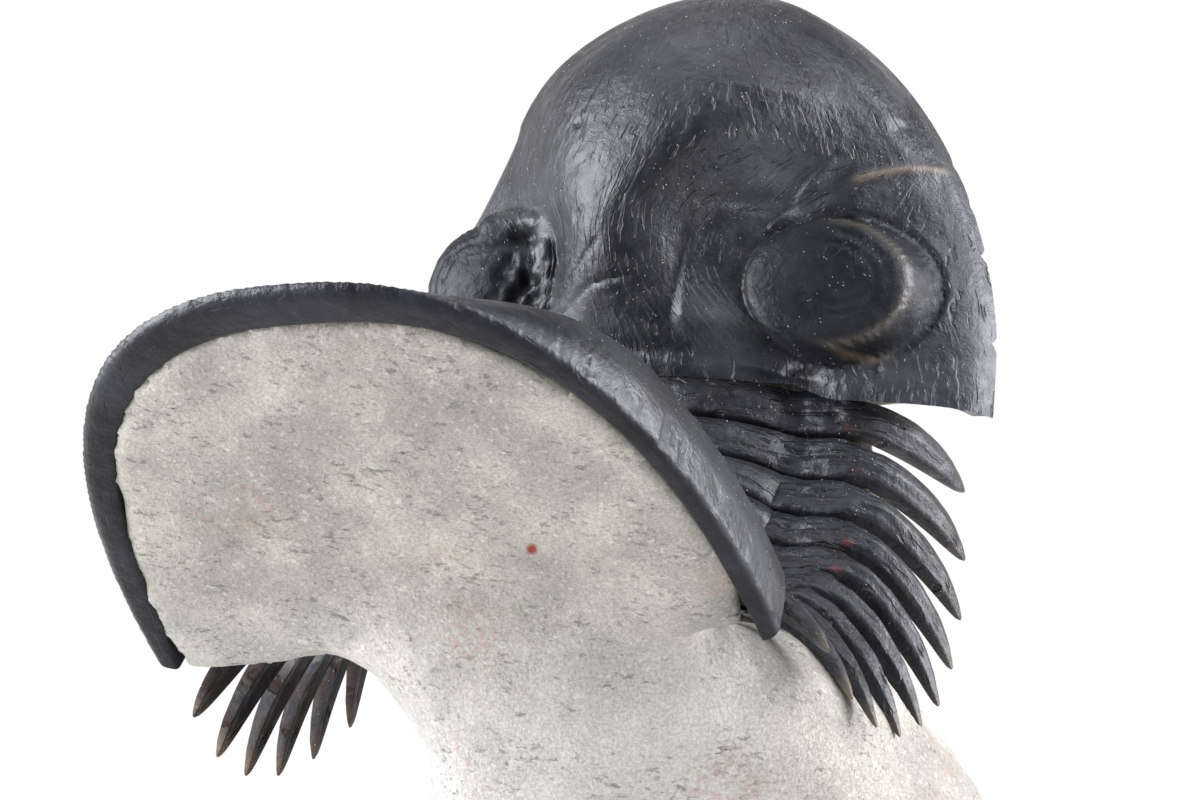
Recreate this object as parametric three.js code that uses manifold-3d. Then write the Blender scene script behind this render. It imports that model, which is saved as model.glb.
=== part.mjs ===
// A fossil trilobite, bent backwards, on the limestone that it was freed from.
// The head shield, ten thoracic segments with free spines, the tail shield and the stone are separate solids.
// Millimetres, +Z up. The origin is the middle of the stone's sawn base.
import * as THREE from "three";
import { mergeVertices } from "three/addons/utils/BufferGeometryUtils.js";
import Module from "manifold-3d";

const wasm = await Module();
wasm.setup();

// Driving dimensions of the body
const SHELL = 1.0; // thickness of the fossil shell
const GAP = 0.3; // clearance between neighbouring pieces
const HEAD = { halfWidth: 21.5, length: 28.3, rearHalf: 7, rim: 0.5, point: 1.12, skew: 0.045 };
const TAIL = { halfWidth: 20, length: 33.6, frontHalf: 6, height: 9.5, doublure: 2.6, rim: 0.6 };
const SEGMENTS = 10;
const SEGMENT_NAMES = Array.from({ length: SEGMENTS }, (_, i) => `thorax_segment_${String(i + 1).padStart(2, "0")}`);

// Where the two shields sit: heading is measured from +Y towards +X, pitch lifts the front end
const HEAD_POSE = { origin: [1.5, 16.2, 37.5], heading: 24, pitch: 75, roll: 0 };
const TAIL_POSE = { origin: [-12.74, -13.5, 22.56], heading: 23.4, pitch: -40.6, roll: -5.1 };
const TAIL_STEP = 3.0; // the thorax meets the tail shield this far above its margin

// Colours of the shell and of the stone
const SHELL_COLOUR = 0x2a2c31;
const STONE_COLOUR = 0xc3c0b8;

const radians = THREE.MathUtils.degToRad;
const clamp = THREE.MathUtils.clamp;
const smooth = THREE.MathUtils.smoothstep;
const power = (base, exponent) => Math.sign(base) * Math.abs(base) ** exponent;

// A soft maximum of two heights, rounded over about `round` millimetres.
function softMax(a, b, round) {
  const h = clamp(0.5 + (0.5 * (a - b)) / round, 0, 1);
  return b + (a - b) * h + round * h * (1 - h);
}

// A smooth curve through knots of place and value, held constant beyond both ends.
function curveAt(knots, place) {
  const x = clamp(place, knots[0][0], knots[knots.length - 1][0]);
  const chordSlope = (k) => (knots[k + 1][1] - knots[k][1]) / (knots[k + 1][0] - knots[k][0]);
  const slopeAt = (k) => {
    if (k === 0) return chordSlope(0);
    if (k === knots.length - 1) return chordSlope(k - 1);
    const before = knots[k][0] - knots[k - 1][0];
    const after = knots[k + 1][0] - knots[k][0];
    return (before * chordSlope(k) + after * chordSlope(k - 1)) / (before + after);
  };
  const k = Math.min(Math.max(0, knots.findLastIndex((knot) => knot[0] <= x)), knots.length - 2);
  const span = knots[k + 1][0] - knots[k][0];
  const rise = knots[k + 1][1] - knots[k][1];
  const s = (x - knots[k][0]) / span;
  const a = slopeAt(k) * span - rise;
  const b = rise - slopeAt(k + 1) * span;
  return knots[k][1] + s * rise + s * (1 - s) * (a * (1 - s) + b * s);
}

// The matrix that stands a shield in its place: X to the animal's right, Y forwards, Z out of its back.
function poseMatrix({ origin, heading, pitch, roll }) {
  const turn = new THREE.Euler(radians(pitch), radians(roll), -radians(heading), "ZXY");
  return new THREE.Matrix4().makeRotationFromEuler(turn).setPosition(...origin);
}

const headMatrix = poseMatrix(HEAD_POSE);
const tailMatrix = poseMatrix(TAIL_POSE);

// Triangles of a closed solid between two grids of points that have the same rows and columns.
// `outer` is seen from outside with its rows going away and its columns to the left.
function shellGeometry(outer, inner) {
  const rows = outer.length;
  const columns = outer[0].length;
  const points = [...outer.flat(), ...inner.flat()];
  const half = rows * columns;
  const index = [];
  const quad = (a, b, c, d) => index.push(a, b, c, a, c, d);
  for (let i = 0; i + 1 < rows; i++) {
    for (let j = 0; j + 1 < columns; j++) {
      const a = i * columns + j;
      const b = a + columns;
      quad(a, b, b + 1, a + 1);
      quad(half + a, half + a + 1, half + b + 1, half + b);
    }
  }
  for (let i = 0; i + 1 < rows; i++) {
    const a = i * columns;
    const e = a + columns - 1;
    quad(a, half + a, half + a + columns, a + columns);
    quad(e, e + columns, half + e + columns, half + e);
  }
  for (let j = 0; j + 1 < columns; j++) {
    const last = (rows - 1) * columns + j;
    quad(j, j + 1, half + j + 1, half + j);
    quad(last, half + last, half + last + 1, last + 1);
  }
  const geometry = new THREE.BufferGeometry().setFromPoints(points.map((p) => new THREE.Vector3(...p)));
  geometry.setIndex(index);
  return geometry;
}

// A closed solid through a stack of rings with the same number of points, closed by a fan at each end.
function loftGeometry(rings) {
  const count = rings[0].length;
  const centre = (ring) => [0, 1, 2].map((k) => ring.reduce((sum, p) => sum + p[k], 0) / count);
  const points = [...rings.flat(), centre(rings[0]), centre(rings[rings.length - 1])];
  const first = rings.length * count;
  const top = (rings.length - 1) * count;
  const index = [];
  for (let i = 0; i + 1 < rings.length; i++) {
    for (let j = 0; j < count; j++) {
      const a = i * count + j;
      const b = i * count + ((j + 1) % count);
      index.push(a, b, b + count, a, b + count, a + count);
    }
  }
  for (let j = 0; j < count; j++) {
    const next = (j + 1) % count;
    index.push(first, next, j, first + 1, top + j, top + next);
  }
  const geometry = new THREE.BufferGeometry().setFromPoints(points.map((p) => new THREE.Vector3(...p)));
  geometry.setIndex(index);
  return geometry;
}

function toSolid(geometry) {
  const bare = geometry.clone();
  bare.deleteAttribute("normal");
  bare.deleteAttribute("uv");
  const merged = mergeVertices(bare, 1e-4);
  const solid = new wasm.Manifold(
    new wasm.Mesh({
      numProp: 3,
      vertProperties: new Float32Array(merged.attributes.position.array),
      triVerts: new Uint32Array(merged.index.array),
    }),
  );
  if (solid.volume() < 0) throw new Error("a solid is inside out");
  return solid;
}

function toGeometry(solid) {
  const mesh = solid.getMesh();
  const position = new Float32Array(mesh.numVert * 3);
  for (let i = 0; i < mesh.numVert; i++) {
    position.set(mesh.vertProperties.subarray(i * mesh.numProp, i * mesh.numProp + 3), i * 3);
  }
  const geometry = new THREE.BufferGeometry();
  geometry.setAttribute("position", new THREE.BufferAttribute(position, 3));
  geometry.setIndex(new THREE.BufferAttribute(new Uint32Array(mesh.triVerts), 1));
  return geometry;
}

// Head shield. Plan position (x, y) on an elliptical grid: rho runs from the rear middle (0) to the margin (1).
function headPlan(alpha, rho) {
  const across = HEAD.rearHalf + (HEAD.halfWidth - HEAD.rearHalf) * rho;
  return [across * power(Math.cos(alpha), HEAD.point), HEAD.length * rho * power(Math.sin(alpha), HEAD.point)];
}

// The glabella swells from a broad rear over a narrow neck to a ball in front. Its neck leans to the left.
const GLABELLA = {
  ball: 15,
  ballY: 13,
  top: [[0, 8.2], [2, 9.9], [4, 11.8], [6, 13.2], [8, 14.1], [10, 14.7], [13, 15]],
  half: [[0, 10.6], [2, 10.6], [3.5, 9.2], [5, 7.8], [6.5, 7.1], [8, 6.9], [10, 6.9], [12, 8.2], [13.5, 9.7], [15, 11.6], [16.5, 13.1], [18, 14]],
  middle: [[0, -0.7], [3, -1.4], [6, -2], [9, -2], [12, -1.2], [15, -0.3], [18, 0]],
};
const CHEEK = { height: 5.9, swell: 1.6 }; // the cheeks are higher beside the front of the glabella
const WRAP = { rear: 1.8, front: 6 }; // how softly the glabella runs into the cheeks
const FURROW = { out: 0.9, half: 1.25, depth: 1.1 }; // the groove between the glabella's neck and the eye

const glabellaBall = (y) => Math.sqrt(Math.max(0, GLABELLA.ball ** 2 - (y - GLABELLA.ballY) ** 2));
const glabellaHalf = (y) => (y < 18 ? curveAt(GLABELLA.half, y) : Math.max(glabellaBall(y), 0.001));

// How far out a plan position is: 0 in the rear middle and 1 on the margin.
const headOut = (x, y) => (Math.abs(x / HEAD.halfWidth) ** (2 / HEAD.point) + Math.abs(y / HEAD.length) ** (2 / HEAD.point)) ** (HEAD.point / 2);

// Height of the head shield over its margin plane at a plan position, without the eyes.
function headHeight(x, y) {
  const out = Math.min(1, headOut(x, y));
  const shoulder = Math.max(0, 1 - out ** 3) ** 0.45;
  const top = y < GLABELLA.ballY ? curveAt(GLABELLA.top, y) : glabellaBall(y);
  const half = glabellaHalf(y);
  const off = x - curveAt(GLABELLA.middle, y);
  const glabella = top * Math.sqrt(Math.max(0, 1 - (off / half) ** 2));
  const cheek = (CHEEK.height + CHEEK.swell * smooth(y, 10.5, 16)) * shoulder;
  const wrap = WRAP.rear + (WRAP.front - WRAP.rear) * smooth(y, 9.5, 18);
  const groove = FURROW.depth * Math.exp(-(((Math.abs(off) - half - FURROW.out) / FURROW.half) ** 2)) * smooth(y, 1, 4) * (1 - smooth(y, 11.5, 15));
  return (softMax(glabella, cheek, wrap) - groove) * Math.min(1, 4 * shoulder);
}

// The lowest the head shield gets within a step of a plan position, which keeps its wall thick where it is steep.
function headFloor(x, y, step = 1.1) {
  const diagonal = 0.7 * step;
  const steps = [[0, 0], [step, 0], [-step, 0], [0, step], [0, -step], [diagonal, diagonal], [diagonal, -diagonal], [-diagonal, diagonal], [-diagonal, -diagonal]];
  return Math.min(...steps.map(([dx, dy]) => headHeight(x + dx, y + dy)));
}

// The eye is a low turret: a steep lens wall under a domed lid that leans outwards.
const EYE = { x: 11.7, y: 6.2, halfWidth: 5.9, halfLength: 4.6, lid: 8.5, lean: 0.06, foot: 4.4, around: 16 };
const EYE_RINGS = [
  { reach: 1.1, over: -1.1 },
  { reach: 1.05, lift: -3.0 },
  { reach: 1.0, lift: -1.7 },
  { reach: 0.95, lift: -0.8 },
  { reach: 0.8, lift: -0.2 },
  { reach: 0.45, lift: 0.25 },
];

function eyeGeometry(side, grow) {
  const rings = EYE_RINGS.map(({ reach, over, lift }) =>
    Array.from({ length: EYE.around }, (_, i) => {
      const turn = (2 * Math.PI * side * i) / EYE.around;
      const x = EYE.x + (EYE.halfWidth * reach + grow) * Math.cos(turn);
      const y = EYE.y + (EYE.halfLength * reach + grow) * Math.sin(turn);
      const foot = Math.min(headHeight(side * x, y), EYE.foot);
      const z = lift === undefined ? foot + over - grow : EYE.lid + lift - EYE.lean * (x - EYE.x) + grow;
      return skewed([side * x, y, z]);
    }),
  );
  return loftGeometry(rings);
}

// Pulls a point of a shield towards the line under its middle, which leaves a wall of even thickness.
function inset(point, centre, depth) {
  const offset = new THREE.Vector3(...point).sub(centre);
  return offset.multiplyScalar(1 - depth / offset.length()).add(centre).toArray();
}

const shifted = ([x, y, z], along) => [x, y + along, z];

// The head's front end lies a little to the right of its rear middle.
function skewed([x, y, z]) {
  return [x + HEAD.skew * y, y, z];
}

const HEAD_CENTRE = new THREE.Vector3(0, 11, -6);
const TAIL_CENTRE = new THREE.Vector3(0, -14, -9);

const TAIL_GRID = { around: 36, out: 8 };

// Rows of the head run across it. Their columns follow the glabella's sides: shares of its half width,
// then steps out from its foot, then shares of the cheek.
const HEAD_GRID = { rows: 22, frontAngle: 84, glabella: [0.28, 0.54, 0.76, 0.91, 0.98], foot: 0.5, furrow: 1.2, cheek: [0.35, 0.68, 0.9, 1] };

function headRow(number) {
  const beta = radians((HEAD_GRID.frontAngle * number) / HEAD_GRID.rows);
  const y = HEAD.length * power(Math.sin(beta), HEAD.point);
  const margin = HEAD.halfWidth * power(Math.cos(beta), HEAD.point);
  const middle = curveAt(GLABELLA.middle, y);
  const half = glabellaHalf(y);
  const sideOf = (sign) => {
    const room = margin - sign * middle;
    const scale = Math.min(1, (0.86 * room) / (half + HEAD_GRID.furrow));
    const furrow = (half + HEAD_GRID.furrow) * scale;
    const steps = [
      ...HEAD_GRID.glabella.map((share) => share * half * scale),
      (half + HEAD_GRID.foot) * scale,
      furrow,
      ...HEAD_GRID.cheek.map((share) => furrow + share * (room - furrow)),
    ];
    return steps.map((step) => [middle + sign * step, y]);
  };
  return [...sideOf(-1).reverse(), [middle, y], ...sideOf(1)];
}

// The head shield's two faces; `grow` thickens it on both sides.
function headGrids(grow) {
  const outer = [];
  const inner = [];
  for (let i = 0; i <= HEAD_GRID.rows; i++) {
    const plan = headRow(i);
    const rear = i === 0 ? -grow : 0;
    outer.push(plan.map(([x, y]) => skewed(shifted(inset([x, y, headHeight(x, y) + HEAD.rim * headOut(x, y)], HEAD_CENTRE, -grow), rear))));
    inner.push(plan.map(([x, y]) => skewed(shifted(inset([x, y, headFloor(x, y, 1.1 + 1.5 * grow)], HEAD_CENTRE, SHELL + grow), rear))));
  }
  return { outer, inner };
}

// Tail shield. alpha runs from the right front corner round the rear margin to the left one.
function tailPlan(alpha, rho) {
  const bluntness = 2 / 2.4;
  const across = TAIL.frontHalf + (TAIL.halfWidth - TAIL.frontHalf) * rho;
  return [across * power(Math.cos(alpha), bluntness), -TAIL.length * rho * power(Math.sin(alpha), bluntness)];
}

const RACHIS = { half: 5.6, length: 9.5, rise: 2.2 };

function tailHeight(alpha, rho, x, y) {
  const rearward = smooth(Math.sin(alpha), 0.55, 1.0);
  const flank = 0.6 + 0.45 * rearward;
  const dome = TAIL.height * (1 - rho ** 2.4) ** flank;
  const q = Math.hypot(x / RACHIS.half, y / RACHIS.length);
  return dome + RACHIS.rise * (1 - smooth(q, 0.45, 1.05));
}

// Where the doublure, the flat band that is turned in under the margin, ends.
function doublureEdge(alpha) {
  const [x, y] = tailPlan(alpha, 1);
  const width = 0.5 + (TAIL.doublure - 0.5) * smooth(Math.sin(alpha), 0, 0.3);
  return 1 - width / Math.hypot(x, y);
}

function tailGrids(grow) {
  const outer = [];
  const inner = [];
  for (let i = 0; i <= TAIL_GRID.around; i++) {
    const alpha = (Math.PI * i) / TAIL_GRID.around;
    const edge = doublureEdge(alpha);
    const inside = Array.from({ length: TAIL_GRID.out - 2 }, (_, k) => (edge * k) / (TAIL_GRID.out - 3));
    const rhos = [...inside, edge + 0.012, (1 + edge) / 2, 1];
    const front = i === 0 || i === TAIL_GRID.around ? grow : 0;
    const top = [];
    const bottom = [];
    rhos.forEach((rho, k) => {
      const [x, y] = tailPlan(alpha, rho);
      const p = [x, y, tailHeight(alpha, rho, x, y)];
      top.push(shifted(inset(p, TAIL_CENTRE, -grow), front));
      const banded = k >= inside.length;
      bottom.push(shifted(banded ? [x, y, -TAIL.rim - grow] : inset(p, TAIL_CENTRE, SHELL + grow), front));
    });
    outer.push(top);
    inner.push(bottom);
  }
  return { outer, inner };
}

// The thorax is swept along the line from the head's rear edge to the tail's front edge.
const startPoint = new THREE.Vector3().setFromMatrixPosition(headMatrix);
const tailUp = new THREE.Vector3().setFromMatrixColumn(tailMatrix, 2);
const endPoint = new THREE.Vector3().setFromMatrixPosition(tailMatrix).addScaledVector(tailUp, TAIL_STEP);
const startTurn = new THREE.Quaternion().setFromRotationMatrix(headMatrix);
const endTurn = new THREE.Quaternion().setFromRotationMatrix(tailMatrix);
const bend = radians(HEAD_POSE.pitch - TAIL_POSE.pitch);
const chord = startPoint.distanceTo(endPoint);
const bendRadius = chord / (2 * Math.sin(bend / 2));
const thoraxLength = bendRadius * bend;
const pull = 4 * Math.tan(bend / 4) * bendRadius;
const backwards = (turn) => new THREE.Vector3(0, -1, 0).applyQuaternion(turn);
const startPull = backwards(startTurn).multiplyScalar(pull);
const endPull = backwards(endTurn).multiplyScalar(pull);

// A point of the thorax: t is 0 at the head and 1 at the tail, x is to the right and z is out of the back.
function sweep(t, x, z) {
  const s = clamp(t, 0, 1);
  const s2 = s * s;
  const s3 = s2 * s;
  const point = new THREE.Vector3()
    .addScaledVector(startPoint, 2 * s3 - 3 * s2 + 1)
    .addScaledVector(startPull, s3 - 2 * s2 + s)
    .addScaledVector(endPoint, 3 * s2 - 2 * s3)
    .addScaledVector(endPull, s3 - s2);
  const turn = new THREE.Quaternion().slerpQuaternions(startTurn, endTurn, s);
  point.addScaledVector(backwards(turn), (t - s) * thoraxLength);
  return point.add(new THREE.Vector3(x, 0, z).applyQuaternion(turn)).toArray();
}

// Half of a thoracic segment seen from behind, from the axis over the pleura to the fulcrum (across = 1).
const PLEURA = [
  { across: 0.0, z: 8.4, width: 1.0, thick: 1.2 },
  { across: 0.24, z: 8.0, width: 1.0, thick: 1.2 },
  { across: 0.44, z: 6.9, width: 1.0, thick: 1.2 },
  { across: 0.58, z: 5.3, width: 1.0, thick: 1.2 },
  { across: 0.67, z: 4.0, width: 1.0, thick: 1.2 },
  { across: 0.76, z: 4.3, width: 1.0, thick: 1.2 },
  { across: 0.9, z: 4.1, width: 1.0, thick: 1.3 },
  { across: 1.0, z: 3.0, width: 0.84, thick: 1.4 },
];
const FULCRUM = PLEURA.length - 1; // index from which the spine hangs free
const SPINE = { length: 9.6, steps: 4, curl: 17, sweep: 1.3, front: 68, rearRight: 44, rearLeft: 74 }; // degrees and millimetres
const CREST = 0.35; // height of a segment's crest over its edges
const ACROSS = 2; // strips along each face of a segment

// The thorax is widest in its middle.
const fulcrumX = (t) => 13.6 + 3.2 * Math.sin((Math.PI * clamp(t, 0, 1)) / 1.1) + 0.9 * t;

// The section of a segment on one side, with its spine, which droops by an angle and curls under.
function sectionOf(number, side) {
  const share = number / (SEGMENTS - 1);
  const reach = fulcrumX((number + 0.5) / SEGMENTS);
  const section = PLEURA.map(({ across, z, width, thick }) => ({ x: across * reach, z, width, thick }));
  const rear = side > 0 ? SPINE.rearRight : SPINE.rearLeft;
  const droop = SPINE.front + (rear - SPINE.front) * share * share;
  let { x, z } = section[FULCRUM];
  for (let i = 1; i <= SPINE.steps; i++) {
    const free = i / SPINE.steps;
    const angle = radians(droop + SPINE.curl * (2 * (free - 0.5 / SPINE.steps) - 1));
    x += (SPINE.length / SPINE.steps) * Math.cos(angle);
    z -= (SPINE.length / SPINE.steps) * Math.sin(angle);
    section.push({ x, z, width: 0.74 - 0.62 * free ** 1.2, thick: 1.5 - 1.05 * free ** 1.6 });
  }
  return section;
}

function sectionNormal(section, k) {
  const a = section[Math.max(0, k - 1)];
  const b = section[Math.min(section.length - 1, k + 1)];
  const run = k === 0 ? new THREE.Vector2(1, 0) : new THREE.Vector2(b.x - a.x, b.z - a.z).normalize();
  return { x: -run.y, z: run.x };
}

function segmentGrids(number, grow, from = -Infinity, to = Infinity, across = ACROSS) {
  const pitch = 1 / SEGMENTS;
  const middle = (number + 0.5) * pitch;
  const sections = { right: sectionOf(number, 1), left: sectionOf(number, -1) };
  const last = sections.right.length - 1;
  const outer = [];
  const inner = [];
  for (let i = Math.max(-last, from); i <= Math.min(last, to); i++) {
    const k = Math.abs(i);
    const side = Math.sign(i);
    const section = side > 0 ? sections.right : sections.left;
    const { x, z, width, thick } = section[k];
    const normal = sectionNormal(section, k);
    const local = thoraxLength * (1 - z / bendRadius);
    const half = (pitch * width - GAP / local) / 2 + grow / local;
    const free = clamp((k - FULCRUM) / (last - FULCRUM), 0, 1);
    const back = (SPINE.sweep * free ** 1.3) / thoraxLength;
    const top = [];
    const bottom = [];
    for (let j = 0; j <= across; j++) {
      const v = (2 * j) / across - 1;
      const t = middle + back + half * v;
      const rise = CREST * (1 - v * v) + grow;
      const sink = rise - thick * (1 - 0.25 * v * v) - 2 * grow;
      top.push(sweep(t, side * (x + normal.x * rise), z + normal.z * rise));
      bottom.push(sweep(t, side * (x + normal.x * sink), z + normal.z * sink));
    }
    outer.push(top);
    inner.push(bottom);
  }
  return { outer, inner };
}

// Shell solids; the shields are in their own frames and the segments in the part's frame.
function headSolid(grow) {
  const { outer, inner } = headGrids(grow);
  return wasm.Manifold.union([
    toSolid(shellGeometry(inner, outer)),
    toSolid(eyeGeometry(1, grow)),
    toSolid(eyeGeometry(-1, grow)),
  ]);
}

function tailSolid(grow) {
  const { outer, inner } = tailGrids(grow);
  return toSolid(shellGeometry(outer, inner));
}

function segmentSolid(number, grow) {
  const { outer, inner } = segmentGrids(number, grow);
  return toSolid(shellGeometry(inner, outer));
}

// The end of a segment on one side, with a clearance round it.
function spineSolid(number, side) {
  const root = FULCRUM - 1;
  const { outer, inner } = segmentGrids(number, 2 * GAP, side > 0 ? root : -Infinity, side > 0 ? Infinity : -root, 1);
  return toSolid(shellGeometry(inner, outer));
}

// The stone under each shield fills it up to a level just inside its margin.
const CORE = { rows: 16, columns: 4, recess: 0.4, clearance: 0.9, headReach: 0.94 };

function headCore() {
  const outer = [];
  const inner = [];
  for (let i = 0; i <= CORE.rows; i++) {
    const alpha = (Math.PI * i) / CORE.rows;
    const rhos = Array.from({ length: CORE.columns + 1 }, (_, k) => CORE.headReach * Math.sin((k / CORE.columns) * (Math.PI / 2)));
    const plans = rhos.map((rho) => headPlan(alpha, rho));
    const top = plans.map(([x, y]) => inset([x, y, headFloor(x, y, 2.2)], HEAD_CENTRE, SHELL + CORE.clearance));
    outer.push(top.map(skewed));
    inner.push(plans.map(([x, y], k) => skewed([0.955 * x, 0.955 * y, Math.min(CORE.recess, top[k][2] - 0.3)])));
  }
  return toSolid(shellGeometry(inner, outer));
}

function tailCore() {
  const outer = [];
  const inner = [];
  for (let i = 0; i <= CORE.rows; i++) {
    const alpha = (Math.PI * i) / CORE.rows;
    const reach = doublureEdge(alpha) - 0.02;
    const rhos = Array.from({ length: CORE.columns + 1 }, (_, k) => (reach * k) / CORE.columns);
    const plans = rhos.map((rho) => tailPlan(alpha, rho));
    outer.push(
      plans.map(([x, y], k) => inset([x, y, tailHeight(alpha, rhos[k], x, y)], TAIL_CENTRE, SHELL + CORE.clearance)),
    );
    inner.push(plans.map(([x, y]) => [x, y, -CORE.recess]));
  }
  return toSolid(shellGeometry(outer, inner));
}

// The stone under the thorax, swept along it; it reaches a little way under both shields.
const BED = { start: -0.12, end: 1.1, steps: 9 };
const BED_SHARES = [-0.9, -0.67, -0.44, 0, 0.44, 0.67, 0.9];

// Height of the underside of the segments at a share of the way out to the fulcrum.
function undersideZ(across) {
  const u = Math.abs(across);
  const k = Math.max(1, PLEURA.findIndex((p) => p.across >= u));
  const a = PLEURA[k - 1];
  const b = PLEURA[k];
  return a.z + ((b.z - a.z) * (u - a.across)) / (b.across - a.across) - 1.3 - GAP;
}

// A solid swept along the thorax between two heights over each share of its half width.
function sweptSolid({ start, end, steps }, shares, topOf, bottomOf) {
  const outer = [];
  const inner = [];
  for (let i = 0; i <= steps; i++) {
    const t = start + ((end - start) * i) / steps;
    const reach = fulcrumX(t);
    outer.push(shares.map((share) => sweep(t, share * reach, topOf(share, t))));
    inner.push(shares.map((share) => sweep(t, share * reach, bottomOf(share, t))));
  }
  return toSolid(shellGeometry(outer, inner));
}

// The bed is deepest under the middle of the thorax and thins out under the shields.
function bedFloor(share, t) {
  const deep = smooth(t, -0.12, 0.3) * (1 - smooth(t, 0.7, 1.08));
  return CORE.recess * (1 - 2 * smooth(t, 0, 1)) - (5.2 - 3.5 * Math.abs(share)) * deep;
}

const thoraxBed = () => sweptSolid(BED, BED_SHARES, (share) => undersideZ(share) - 0.45, bedFloor);

// The room that the segments take up over the stone, with a clearance.
const THORAX_ROOM = { start: -0.01, end: 1.01, steps: 9 };
const thoraxRoom = () => sweptSolid(THORAX_ROOM, [-1.03, ...BED_SHARES, 1.03], () => 16, (share) => undersideZ(Math.min(1, Math.abs(share))));

// The pillar of stone that the animal stands on, as rounded outlines from the thorax down to the sawn base.
const PILLAR = [
  { z: 0, x: [-19, 22], y: [-15, 17] },
  { z: 6, x: [-17.5, 21], y: [-14.5, 16] },
  { z: 12.7, x: [-15.8, 19.3], y: [-14.5, 15] },
  { z: 17.7, x: [-16.6, 15.5], y: [-14.6, 14] },
  { z: 21, x: [-18.8, 12.5], y: [-15.2, 12] },
  { z: 24, x: [-17, 8], y: [-14, 9] },
];
const PILLAR_AROUND = 18;

// More stone under the tail's front edge, where the pillar spreads into the tail's filling.
const BUTTRESS = [
  { z: 11, x: [-14.5, 4], y: [-14.4, -4] },
  { z: 16, x: [-15.5, 4.5], y: [-16, -4] },
  { z: 20, x: [-18.2, 5], y: [-17.2, -4] },
  { z: 22.6, x: [-21, 4.5], y: [-18, -5] },
  { z: 25, x: [-19, 2], y: [-18.6, -8] },
];
const BUTTRESS_AROUND = 14;

function roundedStack(stack, around) {
  const rings = stack.map(({ z, x, y }) =>
    Array.from({ length: around }, (_, i) => {
      const turn = (2 * Math.PI * i) / around;
      return [
        (x[0] + x[1]) / 2 + ((x[1] - x[0]) / 2) * power(Math.cos(turn), 0.85),
        (y[0] + y[1]) / 2 + ((y[1] - y[0]) / 2) * power(Math.sin(turn), 0.85),
        z,
      ];
    }),
  );
  return toSolid(loftGeometry(rings));
}

const placed = (solid, matrix) => solid.transform(matrix.elements);

function stoneSolid() {
  const block = wasm.Manifold.union([
    placed(headCore(), headMatrix),
    placed(tailCore(), tailMatrix),
    thoraxBed(),
    roundedStack(PILLAR, PILLAR_AROUND),
    roundedStack(BUTTRESS, BUTTRESS_AROUND),
  ]);
  const fossils = wasm.Manifold.union([
    placed(headSolid(GAP), headMatrix),
    placed(tailSolid(GAP), tailMatrix),
    thoraxRoom(),
    ...SEGMENT_NAMES.flatMap((_, number) => [spineSolid(number, 1), spineSolid(number, -1)]),
  ]);
  const pieces = wasm.Manifold.difference(block, fossils).decompose();
  pieces.sort((a, b) => b.volume() - a.volume());
  return pieces[0]; // what is left of the stone between two neighbouring shells is too small to stay
}

const shellMaterial = new THREE.MeshStandardMaterial({ color: SHELL_COLOUR, roughness: 0.42, metalness: 0 });
const stoneMaterial = new THREE.MeshStandardMaterial({ color: STONE_COLOUR, roughness: 0.92, metalness: 0 });

function namedMesh(name, solid, material) {
  const mesh = new THREE.Mesh(toGeometry(solid), material);
  mesh.name = name;
  mesh.geometry.computeVertexNormals();
  return mesh;
}

const trilobite = new THREE.Group();

const head = new THREE.Group();
head.applyMatrix4(headMatrix);
head.add(namedMesh("head_shield", headSolid(0), shellMaterial));

const tail = new THREE.Group();
tail.applyMatrix4(tailMatrix);
tail.add(namedMesh("tail_shield", tailSolid(0), shellMaterial));

const thorax = new THREE.Group();
SEGMENT_NAMES.forEach((name, number) => thorax.add(namedMesh(name, segmentSolid(number, 0), shellMaterial)));

trilobite.add(head, thorax, tail, namedMesh("limestone_matrix", stoneSolid(), stoneMaterial));
export default trilobite;
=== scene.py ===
"""A fossil trilobite, bent backwards, on the limestone pillar that it was freed from.

Every shape follows the CAD frame: the head shield, ten thoracic segments, the tail shield
and the stone each stand in the place of the node of the same name. Lengths are in
millimetres until a mesh is made.
"""

import logging
import math
from dataclasses import dataclass
from enum import Enum
from functools import partial, reduce
from typing import Sequence

import bmesh
import bpy
import numpy as np
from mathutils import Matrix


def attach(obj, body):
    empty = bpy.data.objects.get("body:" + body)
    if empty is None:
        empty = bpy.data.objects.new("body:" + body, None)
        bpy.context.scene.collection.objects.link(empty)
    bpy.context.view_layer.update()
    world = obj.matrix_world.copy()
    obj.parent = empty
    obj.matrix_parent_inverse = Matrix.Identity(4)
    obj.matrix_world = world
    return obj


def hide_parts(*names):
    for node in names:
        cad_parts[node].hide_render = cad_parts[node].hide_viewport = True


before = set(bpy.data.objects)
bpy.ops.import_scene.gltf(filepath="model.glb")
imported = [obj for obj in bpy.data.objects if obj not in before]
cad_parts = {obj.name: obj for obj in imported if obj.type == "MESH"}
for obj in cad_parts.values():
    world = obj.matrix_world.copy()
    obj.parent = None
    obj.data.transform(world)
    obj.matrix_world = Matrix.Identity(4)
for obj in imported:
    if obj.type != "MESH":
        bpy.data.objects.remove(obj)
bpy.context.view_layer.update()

MM = 0.001
SAME_PLACE = 2e-6
NO_LENGTH = 1e-7
SHARP_EDGE = math.radians(50)
log = logging.getLogger("trilobite")

Array = np.ndarray
Place = tuple[float, float]
Stretch = tuple[float, float, float, float]
Input = bpy.types.Node | bpy.types.NodeSocket | float | tuple | str


class Side(Enum):
    """The two sides of the animal, as the sign of its X axis."""

    RIGHT = 1
    LEFT = -1


def smooth(value: Array | float, low: Array | float, high: Array | float) -> Array:
    """Rise smoothly from 0 to 1 between two values."""
    t = np.clip((value - low) / (high - low), 0.0, 1.0)
    return t * t * (3.0 - 2.0 * t)


def window(value: Array | float, stretch: Stretch) -> Array:
    """Rise from 0 to 1 between the first two places of a stretch and fall back between the last two."""
    rise_from, rise_to, fall_from, fall_to = stretch
    return smooth(value, rise_from, rise_to) * (1 - smooth(value, fall_from, fall_to))


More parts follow.
